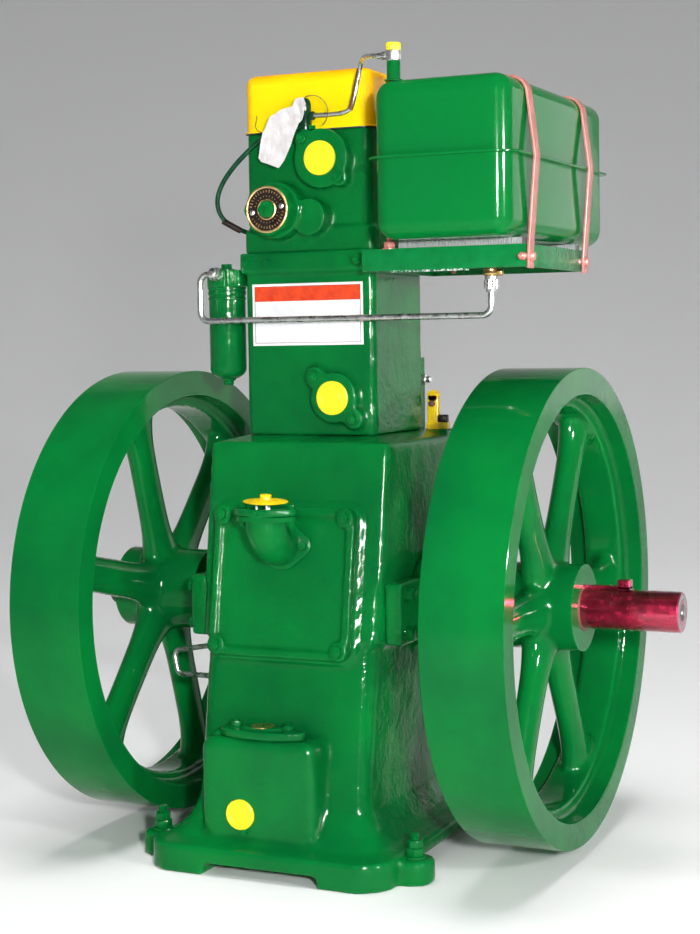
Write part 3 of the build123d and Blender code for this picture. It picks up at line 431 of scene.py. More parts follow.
def mix_finishes():
    """Make every finish once, under the names that the pieces ask for."""
    colours = bpy.context.scene.engine_colours
    finishes["casting"] = green_enamel("casting_green", 0.55, 0.80, 0.0)
    finishes["case"] = green_enamel("case_green", 0.26, 0.42, 0.02)
    finishes["block"] = green_enamel("block_green", 0.14, 0.40, 0.0)
    finishes["wheel"] = green_enamel("wheel_green", 0.10, 0.05, 0.0)
    finishes["rim"] = green_enamel("rim_green", 0.10, 0.05, 0.0, corners=False)
    finishes["small_green"] = green_enamel("fitting_green", 0.25, 0.35, 0.0, corners=False)
    finishes["tank"] = smooth_enamel(
        "tank_green", colours.green, (0.002, 0.165, 0.034), (0.02, 0.30, 0.09))
    # The rim argument paints shade in orange along the cover's left, right and top edges
    finishes["cover"] = smooth_enamel(
        "cover_yellow", colours.yellow, (0.98, 0.74, 0.004), (0.90, 0.50, 0.004),
        rim=(cover_low, cover_high, 15 * MM))
    finishes["dark_pipe"] = plain_enamel("pipe_green", (0.002, 0.075, 0.028), (0.001, 0.035, 0.014), 0.25)
    finishes["injector"] = plain_enamel("injector_green", (0.002, 0.060, 0.022), (0.001, 0.022, 0.010), 0.22)
    finishes["lever"] = plain_enamel("lever_yellow", (1.0, 0.70, 0.005), (0.80, 0.47, 0.004), 0.28)
    finishes["plug"] = moulded_plastic("plug_yellow", colours.plug_yellow, (0.92, 0.68, 0.01))
    finishes["steel"] = bare_metal("plated_steel", colours.steel, 0.24)
    finishes["pipe"] = bare_metal("pipe_steel", (0.50, 0.51, 0.50), 0.26, (1.0, 6.0, 6.0))
    finishes["dark_steel"] = bare_metal("dark_steel", (0.10, 0.10, 0.10), 0.42, tarnish=(0.03, 0.03, 0.03))
    finishes["brass"] = bare_metal("worn_brass", colours.brass, 0.26, tarnish=(0.20, 0.11, 0.04))
    finishes["black"] = plain_enamel("dial_black", (0.012, 0.007, 0.006), (0.035, 0.018, 0.012), 0.32)
    finishes["lacquer"] = red_lacquer("red_lacquer", 0.05)
    finishes["primer"] = strap_primer()
    finishes["rubber"] = grey_rubber()
    finishes["paper"] = tag_paper()
    finishes["plate_white"] = plain_enamel("plate_white", (0.90, 0.90, 0.92), (0.80, 0.81, 0.83), 0.3)
    finishes["drips"] = drips_with_painted_glints()
    finishes["plate_line"] = plain_enamel("plate_line", (0.30, 0.06, 0.05), (0.22, 0.05, 0.05), 0.35)
    finishes["gold"] = bare_metal("dial_gold", (0.66, 0.46, 0.20), 0.3, tarnish=(0.34, 0.20, 0.09))
    # Rust on the tie wires, pivot and hub ring; the same finish paints the leak-off pipe's shadow
    finishes["rust"] = plain_enamel("rusty_wire_and_shadow", (0.16, 0.055, 0.03), (0.07, 0.03, 0.02), 0.6)
    finishes["end_grey"] = plain_enamel("shaft_end_grey", (0.34, 0.34, 0.37), (0.20, 0.19, 0.22), 0.35, 0.4)
    finishes["lacquer_rough"] = red_lacquer("thick_lacquer", 1.0)
    finishes["plate_red"] = plain_enamel("plate_red", (0.78, 0.07, 0.015), (0.60, 0.04, 0.012), 0.3)


# Shaping helpers


def aim(origin, direction, turn=0.0):
    """A place at origin whose own Z axis points along direction, turned about it."""
    return (
        Matrix.Translation(origin)
        @ direction.to_track_quat("Z", "Y").to_matrix().to_4x4()
        @ Matrix.Rotation(turn, 4, "Z")
    )


def mm(x, y, z):
    """A vector given in millimetres."""
    return Vector((x, y, z)) * MM


def over(low, high, level):
    """The point over the middle of a box at a level."""
    return Vector(((low.x + high.x) / 2, (low.y + high.y) / 2, level))


def beside(low, high, x):
    """The point beside the middle of a box, at a place along X."""
    return Vector((x, (low.y + high.y) / 2, (low.z + high.z) / 2))


def behind(low, high):
    """The point at the middle of a box's rear face."""
    return Vector(((low.x + high.x) / 2, high.y, (low.z + high.z) / 2))


def copy_node(node):
    """The mesh of a CAD node as a bmesh with its doubled vertices merged."""
    shape = bmesh.new()
    shape.from_mesh(frame["nodes"][node].data)
    bmesh.ops.remove_doubles(shape, verts=shape.verts, dist=0.02 * MM)
    return shape


def turned(shape, place, profile, steps):
    """Spin a profile of (radius, height) pairs in millimetres round the Z axis of a place."""
    start = [shape.verts.new(place @ mm(radius, 0, height)) for radius, height in profile]
    edges = [shape.edges.new(pair) for pair in zip(start, start[1:])]
    bmesh.ops.spin(
        shape, geom=start + edges, cent=place.translation, axis=place.to_3x3() @ UP,
        angle=FULL_TURN, steps=steps, use_merge=True, dvec=(0, 0, 0))


def raised(place, height):
    """A place moved along its own Z axis by millimetres."""
    return place @ Matrix.Translation((0, 0, height * MM))


def prism(shape, place, radius, length, sides):
    """A prism in millimetres with its middle at a place."""
    return bmesh.ops.create_cone(
        shape, cap_ends=True, cap_tris=False, segments=sides, radius1=radius * MM, radius2=radius * MM,
        depth=length * MM, matrix=place)["verts"]


def hexagon(shape, place, across, height, round_off=0.1):
    """A hexagonal head or nut in millimetres that stands on its place, with its edges eased."""
    verts = prism(shape, raised(place, height / 2), across / math.sqrt(3), height, 6)
    edges = {edge for vert in verts for edge in vert.link_edges}
    bevel(shape, edges, round_off * height, 2)


def disc(shape, place, radius, height, ease=0.5, steps=40):
    """A round plate, washer or plug in millimetres, with its upper edge eased."""
    turned(
        shape, place, [(0, 0), (radius, 0), (radius, height - ease), (radius - ease, height), (0, height)],
        steps)


def stud_end(shape, place, diameter, length, pitch=1.5):
    """A threaded stud end in millimetres with a rounded tip."""
    radius = diameter / 2
    turns = max(1, int(length / pitch))
    profile = [(0, -pitch)]
    for turn in range(turns):
        profile += [(radius - 0.35 * pitch, turn * pitch), (radius, (turn + 0.5) * pitch)]
    profile += [(radius - 0.5 * pitch, turns * pitch), (0, (turns + 0.2) * pitch)]
    turned(shape, place, profile, 20)


def nut_on_stud(shape, place, across, nut_height, stud, stud_length, washer=0.0):
    """A washer, a nut and the end of the stud through them, in millimetres."""
    if washer:
        disc(shape, place, across * 0.62, washer)
        place = raised(place, washer)
    hexagon(shape, place, across, nut_height)
    stud_end(shape, raised(place, nut_height), stud, stud_length)


def bevel(shape, edges, offset, segments, clamp=True):
    """Round edges by an offset in millimetres, and give back what was made."""
    return bmesh.ops.bevel(
        shape, geom=list(edges), offset=offset * MM, offset_type="OFFSET", segments=segments,
        profile=0.5, affect="EDGES", material=-1, clamp_overlap=clamp)


def eased_box(shape, low, high, upright=0.0, rim=0.0, segments=6, rim_top=True, rim_bottom=False):
    """A box with its upright edges rounded in millimetres, and then the rim of its top or bottom."""
    low, high = Vector(low), Vector(high)
    size = high - low
    place = Matrix.Translation((low + high) / 2) @ Matrix.Diagonal((*size, 1.0))
    verts = bmesh.ops.create_cube(shape, size=1.0, matrix=place)["verts"]
    if upright:
        uprights = {
            edge for vert in verts for edge in vert.link_edges
            if abs(edge.verts[0].co.z - edge.verts[1].co.z) > size.z / 2}
        bevelled = bevel(shape, uprights, upright, segments, clamp=False)
        verts = list({vert for face in bevelled["faces"] for vert in face.verts})
        verts = list({vert for start in verts for edge in start.link_edges for vert in edge.verts})
    levels = [high.z] * rim_top + [low.z] * rim_bottom
    if rim:
        edges = {
            edge for vert in verts for edge in vert.link_edges
            if any(abs(end.co.z - level) < SAME for level in levels for end in edge.verts)
            and abs(edge.verts[0].co.z - edge.verts[1].co.z) < SAME}
        bevel(shape, edges, rim, segments, clamp=False)


def ease_edges(shape, offset, sharper=math.radians(35)):
    """Flatten a merged CAD copy into whole faces and bevel its sharp edges by millimetres."""
    bmesh.ops.dissolve_limit(
        shape, angle_limit=math.radians(1), use_dissolve_boundaries=False,
        verts=shape.verts, edges=shape.edges)
    edges = [edge for edge in shape.edges if edge.is_manifold and edge.calc_face_angle(0) > sharper]
    bevel(shape, edges, offset, 2)


def on_case(side, across, up, out):
    """A place on the front (-1) or rear (1) of the case, from its door's middle, with Z outwards."""
    normal = Vector((0, side * math.cos(CASE_TILT), math.sin(CASE_TILT)))
    rise = Vector((0, -side * math.sin(CASE_TILT), math.cos(CASE_TILT)))
    reach = CASE_TOP_HALF + CASE_SLOPE * (CASE_TOP - DOOR_MIDDLE)
    middle = Vector(((door_low.x + door_high.x) / 2, side * reach, DOOR_MIDDLE))
    return aim(middle + RIGHT * across + rise * up + normal * out, normal)


def lobed(shape, place, radius, depth, lobes, height, ease, steps=8):
    """A round block in millimetres whose rim swells in and out, with its outer edges eased."""
    made = bmesh.ops.create_circle(shape, cap_ends=True, segments=lobes * steps, radius=radius * MM)
    for vert in made["verts"]:
        angle = math.atan2(vert.co.y, vert.co.x)
        vert.co = place @ (vert.co * (1 + depth / radius * math.cos(lobes * angle)))
    faces = list({face for vert in made["verts"] for face in vert.link_faces})
    grown = bmesh.ops.extrude_face_region(shape, geom=faces)["geom"]
    top = [item for item in grown if isinstance(item, bmesh.types.BMVert)]
    bmesh.ops.translate(shape, verts=top, vec=place.to_3x3() @ mm(0, 0, height))
    bevel(shape, [item for item in grown if isinstance(item, bmesh.types.BMEdge)], ease, 2)


def bent_wire(name, points, radius, body, finish, nodes=()):
    """A stiff round wire of a radius through points, all in millimetres."""
    curve = bpy.data.curves.new(name, "CURVE")
    curve.dimensions = "3D"
    line = curve.splines.new("NURBS")
    line.points.add(len(points) - 1)
    for point, place in zip(line.points, points):
        point.co = (*[value * MM for value in place], 1)
    line.order_u = 3
    line.use_endpoint_u = True
    curve.bevel_depth = radius * MM
    curve.bevel_resolution = 3
    curve.resolution_u = 10
    curve.use_fill_caps = True
    holder = bpy.data.objects.new(name, curve)
    bpy.context.scene.collection.objects.link(holder)
    graph = bpy.context.evaluated_depsgraph_get()
    mesh = bpy.data.meshes.new_from_object(holder.evaluated_get(graph), depsgraph=graph)
    bpy.data.objects.remove(holder)
    return show(name, mesh, body, finish, nodes)


def show(name, mesh, body, finish, nodes):
    """A finished mesh as a piece that rides on a body and stands for CAD nodes."""
    piece = bpy.data.objects.new(name, mesh)
    bpy.context.scene.collection.objects.link(piece)
    for each in finish if isinstance(finish, (list, tuple)) else [finish]:
        mesh.materials.append(finishes[each])
    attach(piece, body)
    if nodes:
        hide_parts(*nodes)
    return piece


def piece_from(name, shape, body, finish, nodes=(), crease=CREASE):
    """A piece from a bmesh: doubles merged, faces outwards, smooth except at its creases."""
    bmesh.ops.remove_doubles(shape, verts=shape.verts, dist=0.001 * MM)
    bmesh.ops.recalc_face_normals(shape, faces=shape.faces)
    for face in shape.faces:
        face.smooth = True
    for edge in shape.edges:
        edge.smooth = edge.calc_face_angle(0) < crease
    mesh = bpy.data.meshes.new(name)
    shape.to_mesh(mesh)
    shape.free()
    if "custom_normal" in mesh.attributes:
        mesh.attributes.remove(mesh.attributes["custom_normal"])
    return show(name, mesh, body, finish, nodes)


def settle(piece):
    """Make a piece's modifiers part of its mesh."""
    graph = bpy.context.evaluated_depsgraph_get()
    mesh = bpy.data.meshes.new_from_object(piece.evaluated_get(graph), depsgraph=graph)
    piece.modifiers.clear()
    piece.data = mesh
    return mesh


def waver(mesh, size, depth):
    """Move a dense mesh in and out by slow waves, as a rough casting strays from its pattern."""
    places = [vert.co.copy() for vert in mesh.vertices]
    normals = [vert.normal.copy() for vert in mesh.vertices]
    moved = []
    for place, normal in zip(places, normals):
        wave = noise.noise(place / size) + 0.4 * noise.noise(place / (size * 0.35))
        moved += tuple(place + normal * wave * depth)
    mesh.vertices.foreach_set("co", moved)
    mesh.update()


def cast(node, body, finish, fineness, wave, rounding):
    """A casting with soft corners that stands for a CAD node, remeshed at a fineness."""
    piece = piece_from(node + "_casting", copy_node(node), body, finish, [node])
    grid = piece.modifiers.new("grid", "REMESH")
    grid.mode = "VOXEL"
    grid.voxel_size = fineness
    grid.use_smooth_shade = True
    soft = piece.modifiers.new("soft", "SMOOTH")
    soft.factor = 0.5
    soft.iterations = rounding
    mesh = settle(piece)
    mesh.materials.clear()
    mesh.materials.append(finishes[finish])
    if wave:
        waver(mesh, 34 * MM, wave)
    for polygon in mesh.polygons:
        polygon.use_smooth = True
    return piece


# Pieces


class ENGINE_OT_castings(bpy.types.Operator):
    """Crankcase, doors, housings, block, head and the other rough castings"""

    bl_idname = "engine.castings"
    bl_label = "Castings"

    def execute(self, context):
        sizes = context.scene.engine_sizes
        rough = sizes.cast_wave
        passes = sizes.cast_round
        cast("crankcase", "engine", "case", 3.8 * MM, rough, passes)
        cast("cylinder_block", "engine", "block", 2.6 * MM, rough, passes)
        cast("cylinder_head", "engine", "casting", 2.1 * MM, rough * 0.8, passes)
        for door in ("crankcase_door_front", "crankcase_door_rear"):
            cast(door, "engine", "casting", 1.8 * MM, rough * 0.7, passes)
        for housing in ("bearing_housing_left", "bearing_housing_right"):
            cast(housing, "engine", "casting", 2.4 * MM, rough, passes)
        cast("filler_elbow", "engine", "casting", 1.5 * MM, rough * 0.6, passes)
        cast("sump_cover", "engine", "casting", 1.3 * MM, rough * 0.5, passes)
        cast("fuel_pump", "engine", "casting", 1.6 * MM, rough * 0.5, passes)
        cast("fuel_filter_head", "engine", "casting", 1.4 * MM, rough * 0.4, passes)
        return {"FINISHED"}


class ENGINE_OT_flywheels(bpy.types.Operator):
    """The two spoked flywheels"""

    bl_idname = "engine.flywheels"
    bl_label = "Flywheels"

    def execute(self, context):
        passes = max(context.scene.engine_sizes.cast_round - 2, 0)
        for wheel in ("flywheel_left", "flywheel_right"):
            low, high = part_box(wheel)
            rim = (high.z - low.z) / 2
            outboard = max(low.x, high.x, key=abs)
            inboard = outboard - math.copysign(RIM_WIDTH, outboard)
            piece = cast(wheel, "crank", "wheel", 3.35 * MM, 0, passes)
            shape = bmesh.new()
            shape.from_mesh(piece.data)
            for vert in shape.verts:
                self.true_up(vert, (low.x, high.x), (inboard, outboard), rim)
            bmesh.ops.remove_doubles(shape, verts=shape.verts, dist=0.1 * MM)
            bmesh.ops.dissolve_degenerate(shape, edges=shape.edges, dist=0.1 * MM)
            for edge in shape.edges:
                edge.smooth = edge.calc_face_angle(0) < WHEEL_CREASE
            shape.to_mesh(piece.data)
            shape.free()
            self.turn_rim(wheel, (inboard + outboard) / 2, rim / MM)
        return {"FINISHED"}

    def turn_rim(self, wheel, middle, rim):
        """The machined skin of a rim: its outside and its two flat ends."""
        inside = rim - RIM_DEPTH / MM + 1.5
        ease = 0.6
        end = RIM_WIDTH / MM / 2
        outline = [(rim - 3, 3 - end), (inside, ease - end), (inside + ease, -end), (rim - ease, -end),
                   (rim, ease - end)]
        outline += [(radius, -height) for radius, height in reversed(outline)]
        outline.append(outline[0])
        shape = bmesh.new()
        turned(shape, aim(Vector((middle, 0, crank_line)), RIGHT), outline, 256)
        piece_from(f"turned_rim_{wheel[9:]}", shape, "crank", "rim")

    def true_up(self, vert, hub_ends, rim_ends, rim):
        """Bring a point near a turned face back to that face, and on the rim to just under its skin."""
        near = 5 * MM
        rim_inside = rim - RIM_DEPTH
        hub = 54.5 * MM
        arm = Vector((0, vert.co.y, vert.co.z - crank_line))
        radius = arm.length
        on_rim = radius > rim_inside - near
        ends = rim_ends if on_rim else hub_ends
        across = vert.co.x
        end = min(ends, key=lambda level: abs(level - across))
        if abs(end - across) < near:
            for turned_face in (rim_inside, hub):
                if abs(radius - turned_face) < 0.6 * near:
                    radius = turned_face
            across = end + math.copysign(RIM_SKIN * on_rim, sum(ends) / 2 - end)
        if radius > rim - near:
            radius = rim - RIM_SKIN
        arm = arm.normalized() * radius
        vert.co = Vector((across, arm.y, arm.z + crank_line))


class ENGINE_OT_rocker_cover(bpy.types.Operator):
    """Pressed rocker cover with its turned-out lip and gasket"""

    bl_idname = "engine.rocker_cover"
    bl_label = "Rocker cover"

    def execute(self, context):
        shape = bmesh.new()
        eased_box(shape, cover_low + mm(0, 0, 1.5), cover_high, 14, 13, 8)
        piece_from("rocker_cover_pressing", shape, "engine", "cover", ["rocker_cover"])
        shape = bmesh.new()
        lip = mm(2, 2, 0)
        low = cover_low - lip
        high = Vector((cover_high.x, cover_high.y, cover_low.z + 3.2 * MM)) + lip
        eased_box(shape, low + mm(0, 0, 1.2), high, 15, 0.9, 4)
        piece_from("rocker_cover_lip", shape, "engine", "cover")
        shape = bmesh.new()
        eased_box(shape, low, Vector((high.x, high.y, cover_low.z + 1.2 * MM)), 15, 0.3, 3)
        piece_from("rocker_cover_gasket", shape, "engine", "dark_steel")
        return {"FINISHED"}


class ENGINE_OT_tank(bpy.types.Operator):
    """Fuel tank, its seam, straps and bracket"""

    bl_idname = "engine.tank"
    bl_label = "Fuel tank"

    def execute(self, context):
        seam = tank_low.z
        lip = 9 * MM
        shell = Vector((lip, lip, 0))
        shape = bmesh.new()
        top_low = Vector((tank_low.x, tank_low.y, seam)) + shell
        eased_box(shape, top_low, tank_high - shell, 22, 21, 10)
        piece_from("tank_upper_pressing", shape, "engine", "tank", ["fuel_tank_upper"])
        shape = bmesh.new()
        foot_high = Vector((tank_high.x, tank_high.y, seam)) - shell
        eased_box(shape, tank_foot + shell, foot_high, 22, 21, 10, rim_top=False, rim_bottom=True)
        piece_from("tank_lower_pressing", shape, "engine", "tank", ["fuel_tank_lower"])
        shape = bmesh.new()
        half_lip = 1.4 * MM
        eased_box(
            shape, Vector((tank_low.x, tank_low.y, seam - half_lip)),
            Vector((tank_high.x, tank_high.y, seam + half_lip)), 31, 1.0, 8, rim_bottom=True)
        piece_from("tank_seam", shape, "engine", "tank")

        shape = copy_node("tank_bracket")
        ease_edges(shape, 0.8)
        piece_from("tank_bracket_angles", shape, "engine", "casting", ["tank_bracket"])
        for place in ("front", "rear"):
            self.strap(place, lip)
        return {"FINISHED"}

    def strap(self, place, lip):
        """A flat strap drawn tight over the tank's crown and over the lip of its seam."""
        low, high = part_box("tank_strap_" + place)
        stud_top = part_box("strap_stud_" + place)[1].z
        thickness = 3 * MM
        centre = (low.x + high.x) / 2
        body = (high.x - low.x) / 2 - lip
        corner = 24 * MM
        seam = tank_low.z
        side = [(body, 0), (body, 20 * MM), (body + lip, seam - low.z)]
        crown = high.z - low.z - corner
        for step in range(7):
            angle = math.radians(15 * step)
            side.append((body - corner + corner * math.cos(angle), crown + corner * math.sin(angle)))
        hanger = stud_top - low.z - 6 * MM
        far_side = [(-across, max(up, hanger)) for across, up in reversed(side[1:])]
        shape = bmesh.new()
        line = [shape.verts.new((centre + across, low.y, low.z + up)) for across, up in side + far_side]
        edges = [shape.edges.new(pair) for pair in zip(line, line[1:])]
        grown = bmesh.ops.extrude_edge_only(shape, edges=edges)["geom"]
        bmesh.ops.translate(
            shape, verts=[item for item in grown if isinstance(item, bmesh.types.BMVert)],
            vec=(0, high.y - low.y, 0))
        bmesh.ops.solidify(shape, geom=shape.faces[:], thickness=thickness)
        ease_edges(shape, 0.5, SHARP)
        piece_from("strap_band_" + place, shape, "engine", "primer", ["tank_strap_" + place])


class ENGINE_OT_nuts(bpy.types.Operator):
    """Painted nuts, bolt heads and studs on the castings"""

    bl_idname = "engine.nuts"
    bl_label = "Nuts and studs"

    def execute(self, context):
        sizes = context.scene.engine_sizes
        self.door_nuts(sizes.door_nut / MM)
        self.foot_nuts(sizes.foot_nut / MM, sizes.foot_stud / MM)
        self.flange_nuts()
        self.housing_bolts()
        self.bracket_bolts()
        return {"FINISHED"}

    def door_nuts(self, across):
        """Nuts on the four bosses of each door."""
        half_width = 85 * MM
        half_height = 82 * MM
        for name, side in (("front", -1), ("rear", 1)):
            shape = bmesh.new()
            for number, (x, up) in enumerate(CORNERS):
                place = on_case(side, x * half_width, up * half_height, DOOR_BOSS - 0.3 * MM)
                place = place @ Matrix.Rotation(0.5 + 0.8 * number, 4, "Z")
                disc(shape, place, across * 0.72, 1.2)
                nut_on_stud(shape, raised(place, 1.2), across, 5, across * 0.58, 2.5)
            piece_from("door_nuts_" + name, shape, "engine", "small_green")

    def foot_nuts(self, across, stud):
        """Two nuts, one on the other, on the stud in each foot."""
        lug_top = 29.7
        half_across = 176
        half_deep = 173
        for number, (x, y) in enumerate(CORNERS):
            shape = bmesh.new()
            place = aim(mm(x * half_across, y * half_deep, lug_top), UP, 0.4 * number)
            disc(shape, place, across * 0.68, 2.5)
            place = raised(place, 2.5)
            hexagon(shape, place, across, 10, 0.08)
            place = raised(place, 10.4) @ Matrix.Rotation(0.45, 4, "Z")
            nut_on_stud(shape, place, across * 0.92, 9, stud, 9)
            piece_from(f"foot_nut_{number + 1}", shape, "engine", "small_green")

    def flange_nuts(self):
        """Nuts on the water flanges and the rear ports, and the core plugs."""
        flange_face = -95
        for name, x, z, offset in (("inlet_nuts", 39, 584, 27), ("outlet_nuts", 27, 885, 25)):
            shape = bmesh.new()
            for way in (-1, 1):
                centre = mm(x + way * offset, flange_face, z - way * offset)
                place = aim(centre, FRONT, 0.3 + way * 0.5)
                disc(shape, place, 8.2, 1.2)
                nut_on_stud(shape, raised(place, 1), 12, 5, 7, 3)
            piece_from(name, shape, "engine", "small_green")
        self.sump_cover_nuts()
        shape = bmesh.new()
        port_face = 93
        port_level = 860
        for port in (-42, 42):
            for x, z in CORNERS:
                place = aim(mm(port + 27 * x, port_face, port_level + 34 * z), REAR, 2.7 * x)
                nut_on_stud(shape, place, 13, 7, 8, 9)
        piece_from("port_nuts", shape, "engine", "small_green")
        shape = bmesh.new()
        for x, y in ((-80, 70), (80, 70), (0, 72)):
            disc(shape, aim(Vector((x * MM, y * MM, head_high.z)), UP), 9, 0.6)
        for x in (-83, -52):
            place = aim(Vector((x * MM, block_low.y + 0.2 * MM, RAIL_BOLTS)), FRONT, 0.2)
            disc(shape, place, 4.6, 2, 0.8, 16)
        piece_from("core_plugs", shape, "engine", "small_green")

    def sump_cover_nuts(self):
        """Nuts and a worn oval of brass on the sump cover, and the level tap below it."""
        cover_top = 177.8
        shape = bmesh.new()
        for x in (-50, 22):
            nut_on_stud(shape, aim(mm(x, -201, cover_top), UP, 0.02 * x), 13, 7, 8, 3, 1.5)
        hexagon(shape, aim(mm(-74, -203, 166), (LEFT + UP).normalized(), 0.3), 9, 6)
        tap = aim(mm(-31, -221.6, 52), FRONT, 0.3)
        hexagon(shape, tap, 8, 4)
        disc(shape, raised(tap, 4), 3, 3, 0.8, 20)
        piece_from("sump_cover_nuts", shape, "engine", "small_green")
        shape = bmesh.new()
        worn_and_highlit = Matrix.Translation(mm(-14, -200, cover_top + 3.8)) @ Matrix.Diagonal((1, 0.46, 1, 1))
        disc(shape, worn_and_highlit, 15, 1.0, 0.5, 48)
        piece_from("sump_cover_badge", shape, "engine", "brass")

    def housing_bolts(self):
        """Bolts through the pads of the bearing housings, and the cap screws round the bosses."""
        for name, side in (("left", -1), ("right", 1)):
            shape = bmesh.new()
            pad_face = side * 147 * MM
            boss_face = side * 163 * MM
            screw_circle = 48 * MM
            outward = RIGHT * side
            for y in (-120, 120):
                for z in (-24, 24):
                    place = aim(Vector((pad_face, y * MM, crank_line + z * MM)), outward, 0.01 * y)
                    disc(shape, place, 9.5, 1.6)
                    hexagon(shape, raised(place, 1.5), 16, 9)
            for number in range(6):
                angle = math.radians(30 + 60 * number)
                up = crank_line + screw_circle * math.sin(angle)
                place = aim(Vector((boss_face, screw_circle * math.cos(angle), up)), outward, angle)
                hexagon(shape, place, 11, 6.5)
            piece_from("housing_bolts_" + name, shape, "engine", "small_green")

    def bracket_bolts(self):
        """Bolts that hold the tank rails to the top of the block."""
        shape = bmesh.new()
        for x, reach in ((78, 12), (90, 8)):
            place = aim(Vector((x * MM, block_low.y + 0.2 * MM, RAIL_BOLTS)), FRONT, 0.2 * x)
            disc(shape, place, 8.5, 1.5)
            nut_on_stud(shape, raised(place, 1.4), 12.5, 6, 8, reach - 6)
        low = mm(64, -93, 752)
        eased_box(shape, low, mm(118, -87, 766), 0, 0.8)
        for y in (-100, 70):
            nut_on_stud(
                shape, aim(Vector((101 * MM, y * MM, bracket_high.z - 14 * MM)), RIGHT, 0.3), 13, 6, 8, 4)
        piece_from("bracket_bolts", shape, "engine", "small_green")
        # A strip of beaded enamel under the rail foot, speckled pale as painted highlights
        shape = bmesh.new()
        rail_foot = bracket_low.z
        eased_box(
            shape, Vector((134 * MM, bracket_low.y + 0.4 * MM, rail_foot - 2.2 * MM)),
            Vector((236 * MM, bracket_low.y + 5 * MM, rail_foot + 0.4 * MM)), 0.8, 0.6, 3)
        piece_from("rail_drips_and_glints", shape, "engine", "drips")


class ENGINE_OT_filler(bpy.types.Operator):
    """Oil filler cap with its pins, and the bolts of the elbow's two flanges"""

    bl_idname = "engine.filler"
    bl_label = "Oil filler"

    def execute(self, context):
        cap_low, cap_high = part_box("filler_cap")
        mouth_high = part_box("filler_elbow")[1]
        centre = over(cap_low, cap_high, mouth_high.z)
        tilt = Matrix.Rotation(math.radians(2.5), 4, "Y") @ Matrix.Rotation(math.radians(2), 4, "X")
        disc_foot = 6 * MM
        shape = bmesh.new()
        place = Matrix.Translation(centre + UP * disc_foot) @ tilt
        turned(
            shape, place, [(0, 0), (16, 0.2), (27, 1.2), (28, 2), (26.5, 2.9), (14, 4.6), (7.4, 5.2),
            (6.9, 6.5), (7.2, 9.6), (6.2, 10.8), (0, 11)], 56)
        piece_from("filler_cap_disc", shape, "engine", "lever", ["filler_cap"])
        shape = bmesh.new()
        for x in (-8, 6):
            pin = aim(centre + mm(x, -9, -8), UP)
            turned(shape, pin, [(0, 0), (1.7, 0), (1.7, 13), (0, 14.4)], 20)
        pin = aim(centre + mm(0, 8, -8), UP)
        turned(shape, pin, [(0, 0), (3, 0), (3, 14.2), (0, 14.4)], 20)
        piece_from("filler_cap_pins", shape, "engine", "steel")

        shape = bmesh.new()
        lower = 6
        under = centre - UP * 9 * MM
        half_long = 39.5
        half_wide = 25.5
        middle = Matrix.Translation(under - UP * (lower / 2 + 0.8) * MM)
        prism(shape, middle @ Matrix.Diagonal((1, half_wide / half_long, 1, 1)), half_long, lower, 56)
        for number, x in enumerate((-33, 33)):
            top = aim(centre + mm(x, 2, 0), UP, 0.3 + number)
            hexagon(shape, top, 9.5, 4.5)
            foot = aim(under + mm(x, 2, -lower - 0.6), -UP, 0.7)
            nut_on_stud(shape, foot, 9.5, 5, 6, 3)
        hexagon(shape, aim(centre + mm(-2, -26, -5), FRONT, 0.4), 8, 3.5)
        for way in (-1, 1):
            place = on_case(-1, way * 31 * MM, 46 * MM, DOOR_FACE + 6.8 * MM)
            disc(shape, place, 7.5, 1.2)
            nut_on_stud(shape, raised(place, 1), 11, 5, 7, 3)
        piece_from("filler_bolts", shape, "engine", "small_green")
        return {"FINISHED"}


class ENGINE_OT_plate(bpy.types.Operator):
    """Blank white plate with a red band on the front of the cylinder block"""

    bl_idname = "engine.plate"
    bl_label = "Blank plate"

    def execute(self, context):
        low = mm(-79, -81.9, 651)
        high = mm(77, -80.4, 730)
        margin = 4.5 * MM
        line = 0.9 * MM
        band = 17 * MM
        shape = bmesh.new()
        eased_box(shape, low, high)
        face = min(shape.faces, key=lambda each: each.calc_center_median().y)
        bmesh.ops.inset_region(shape, faces=[face], thickness=margin, depth=0)
        frame_strip = bmesh.ops.inset_region(shape, faces=[face], thickness=line, depth=0)["faces"]
        for each in frame_strip:
            each.material_index = 2
        cut = high.z - margin - line - band
        parts = bmesh.ops.bisect_plane(
            shape, geom=[face, *face.edges, *face.verts], plane_co=(0, 0, cut), plane_no=(0, 0, 1))["geom"]
        for each in parts:
            if isinstance(each, bmesh.types.BMFace) and each.calc_center_median().z > cut:
                each.material_index = 1
        piece_from("blank_plate", shape, "engine", ["plate_white", "plate_red", "plate_line"])
        return {"FINISHED"}


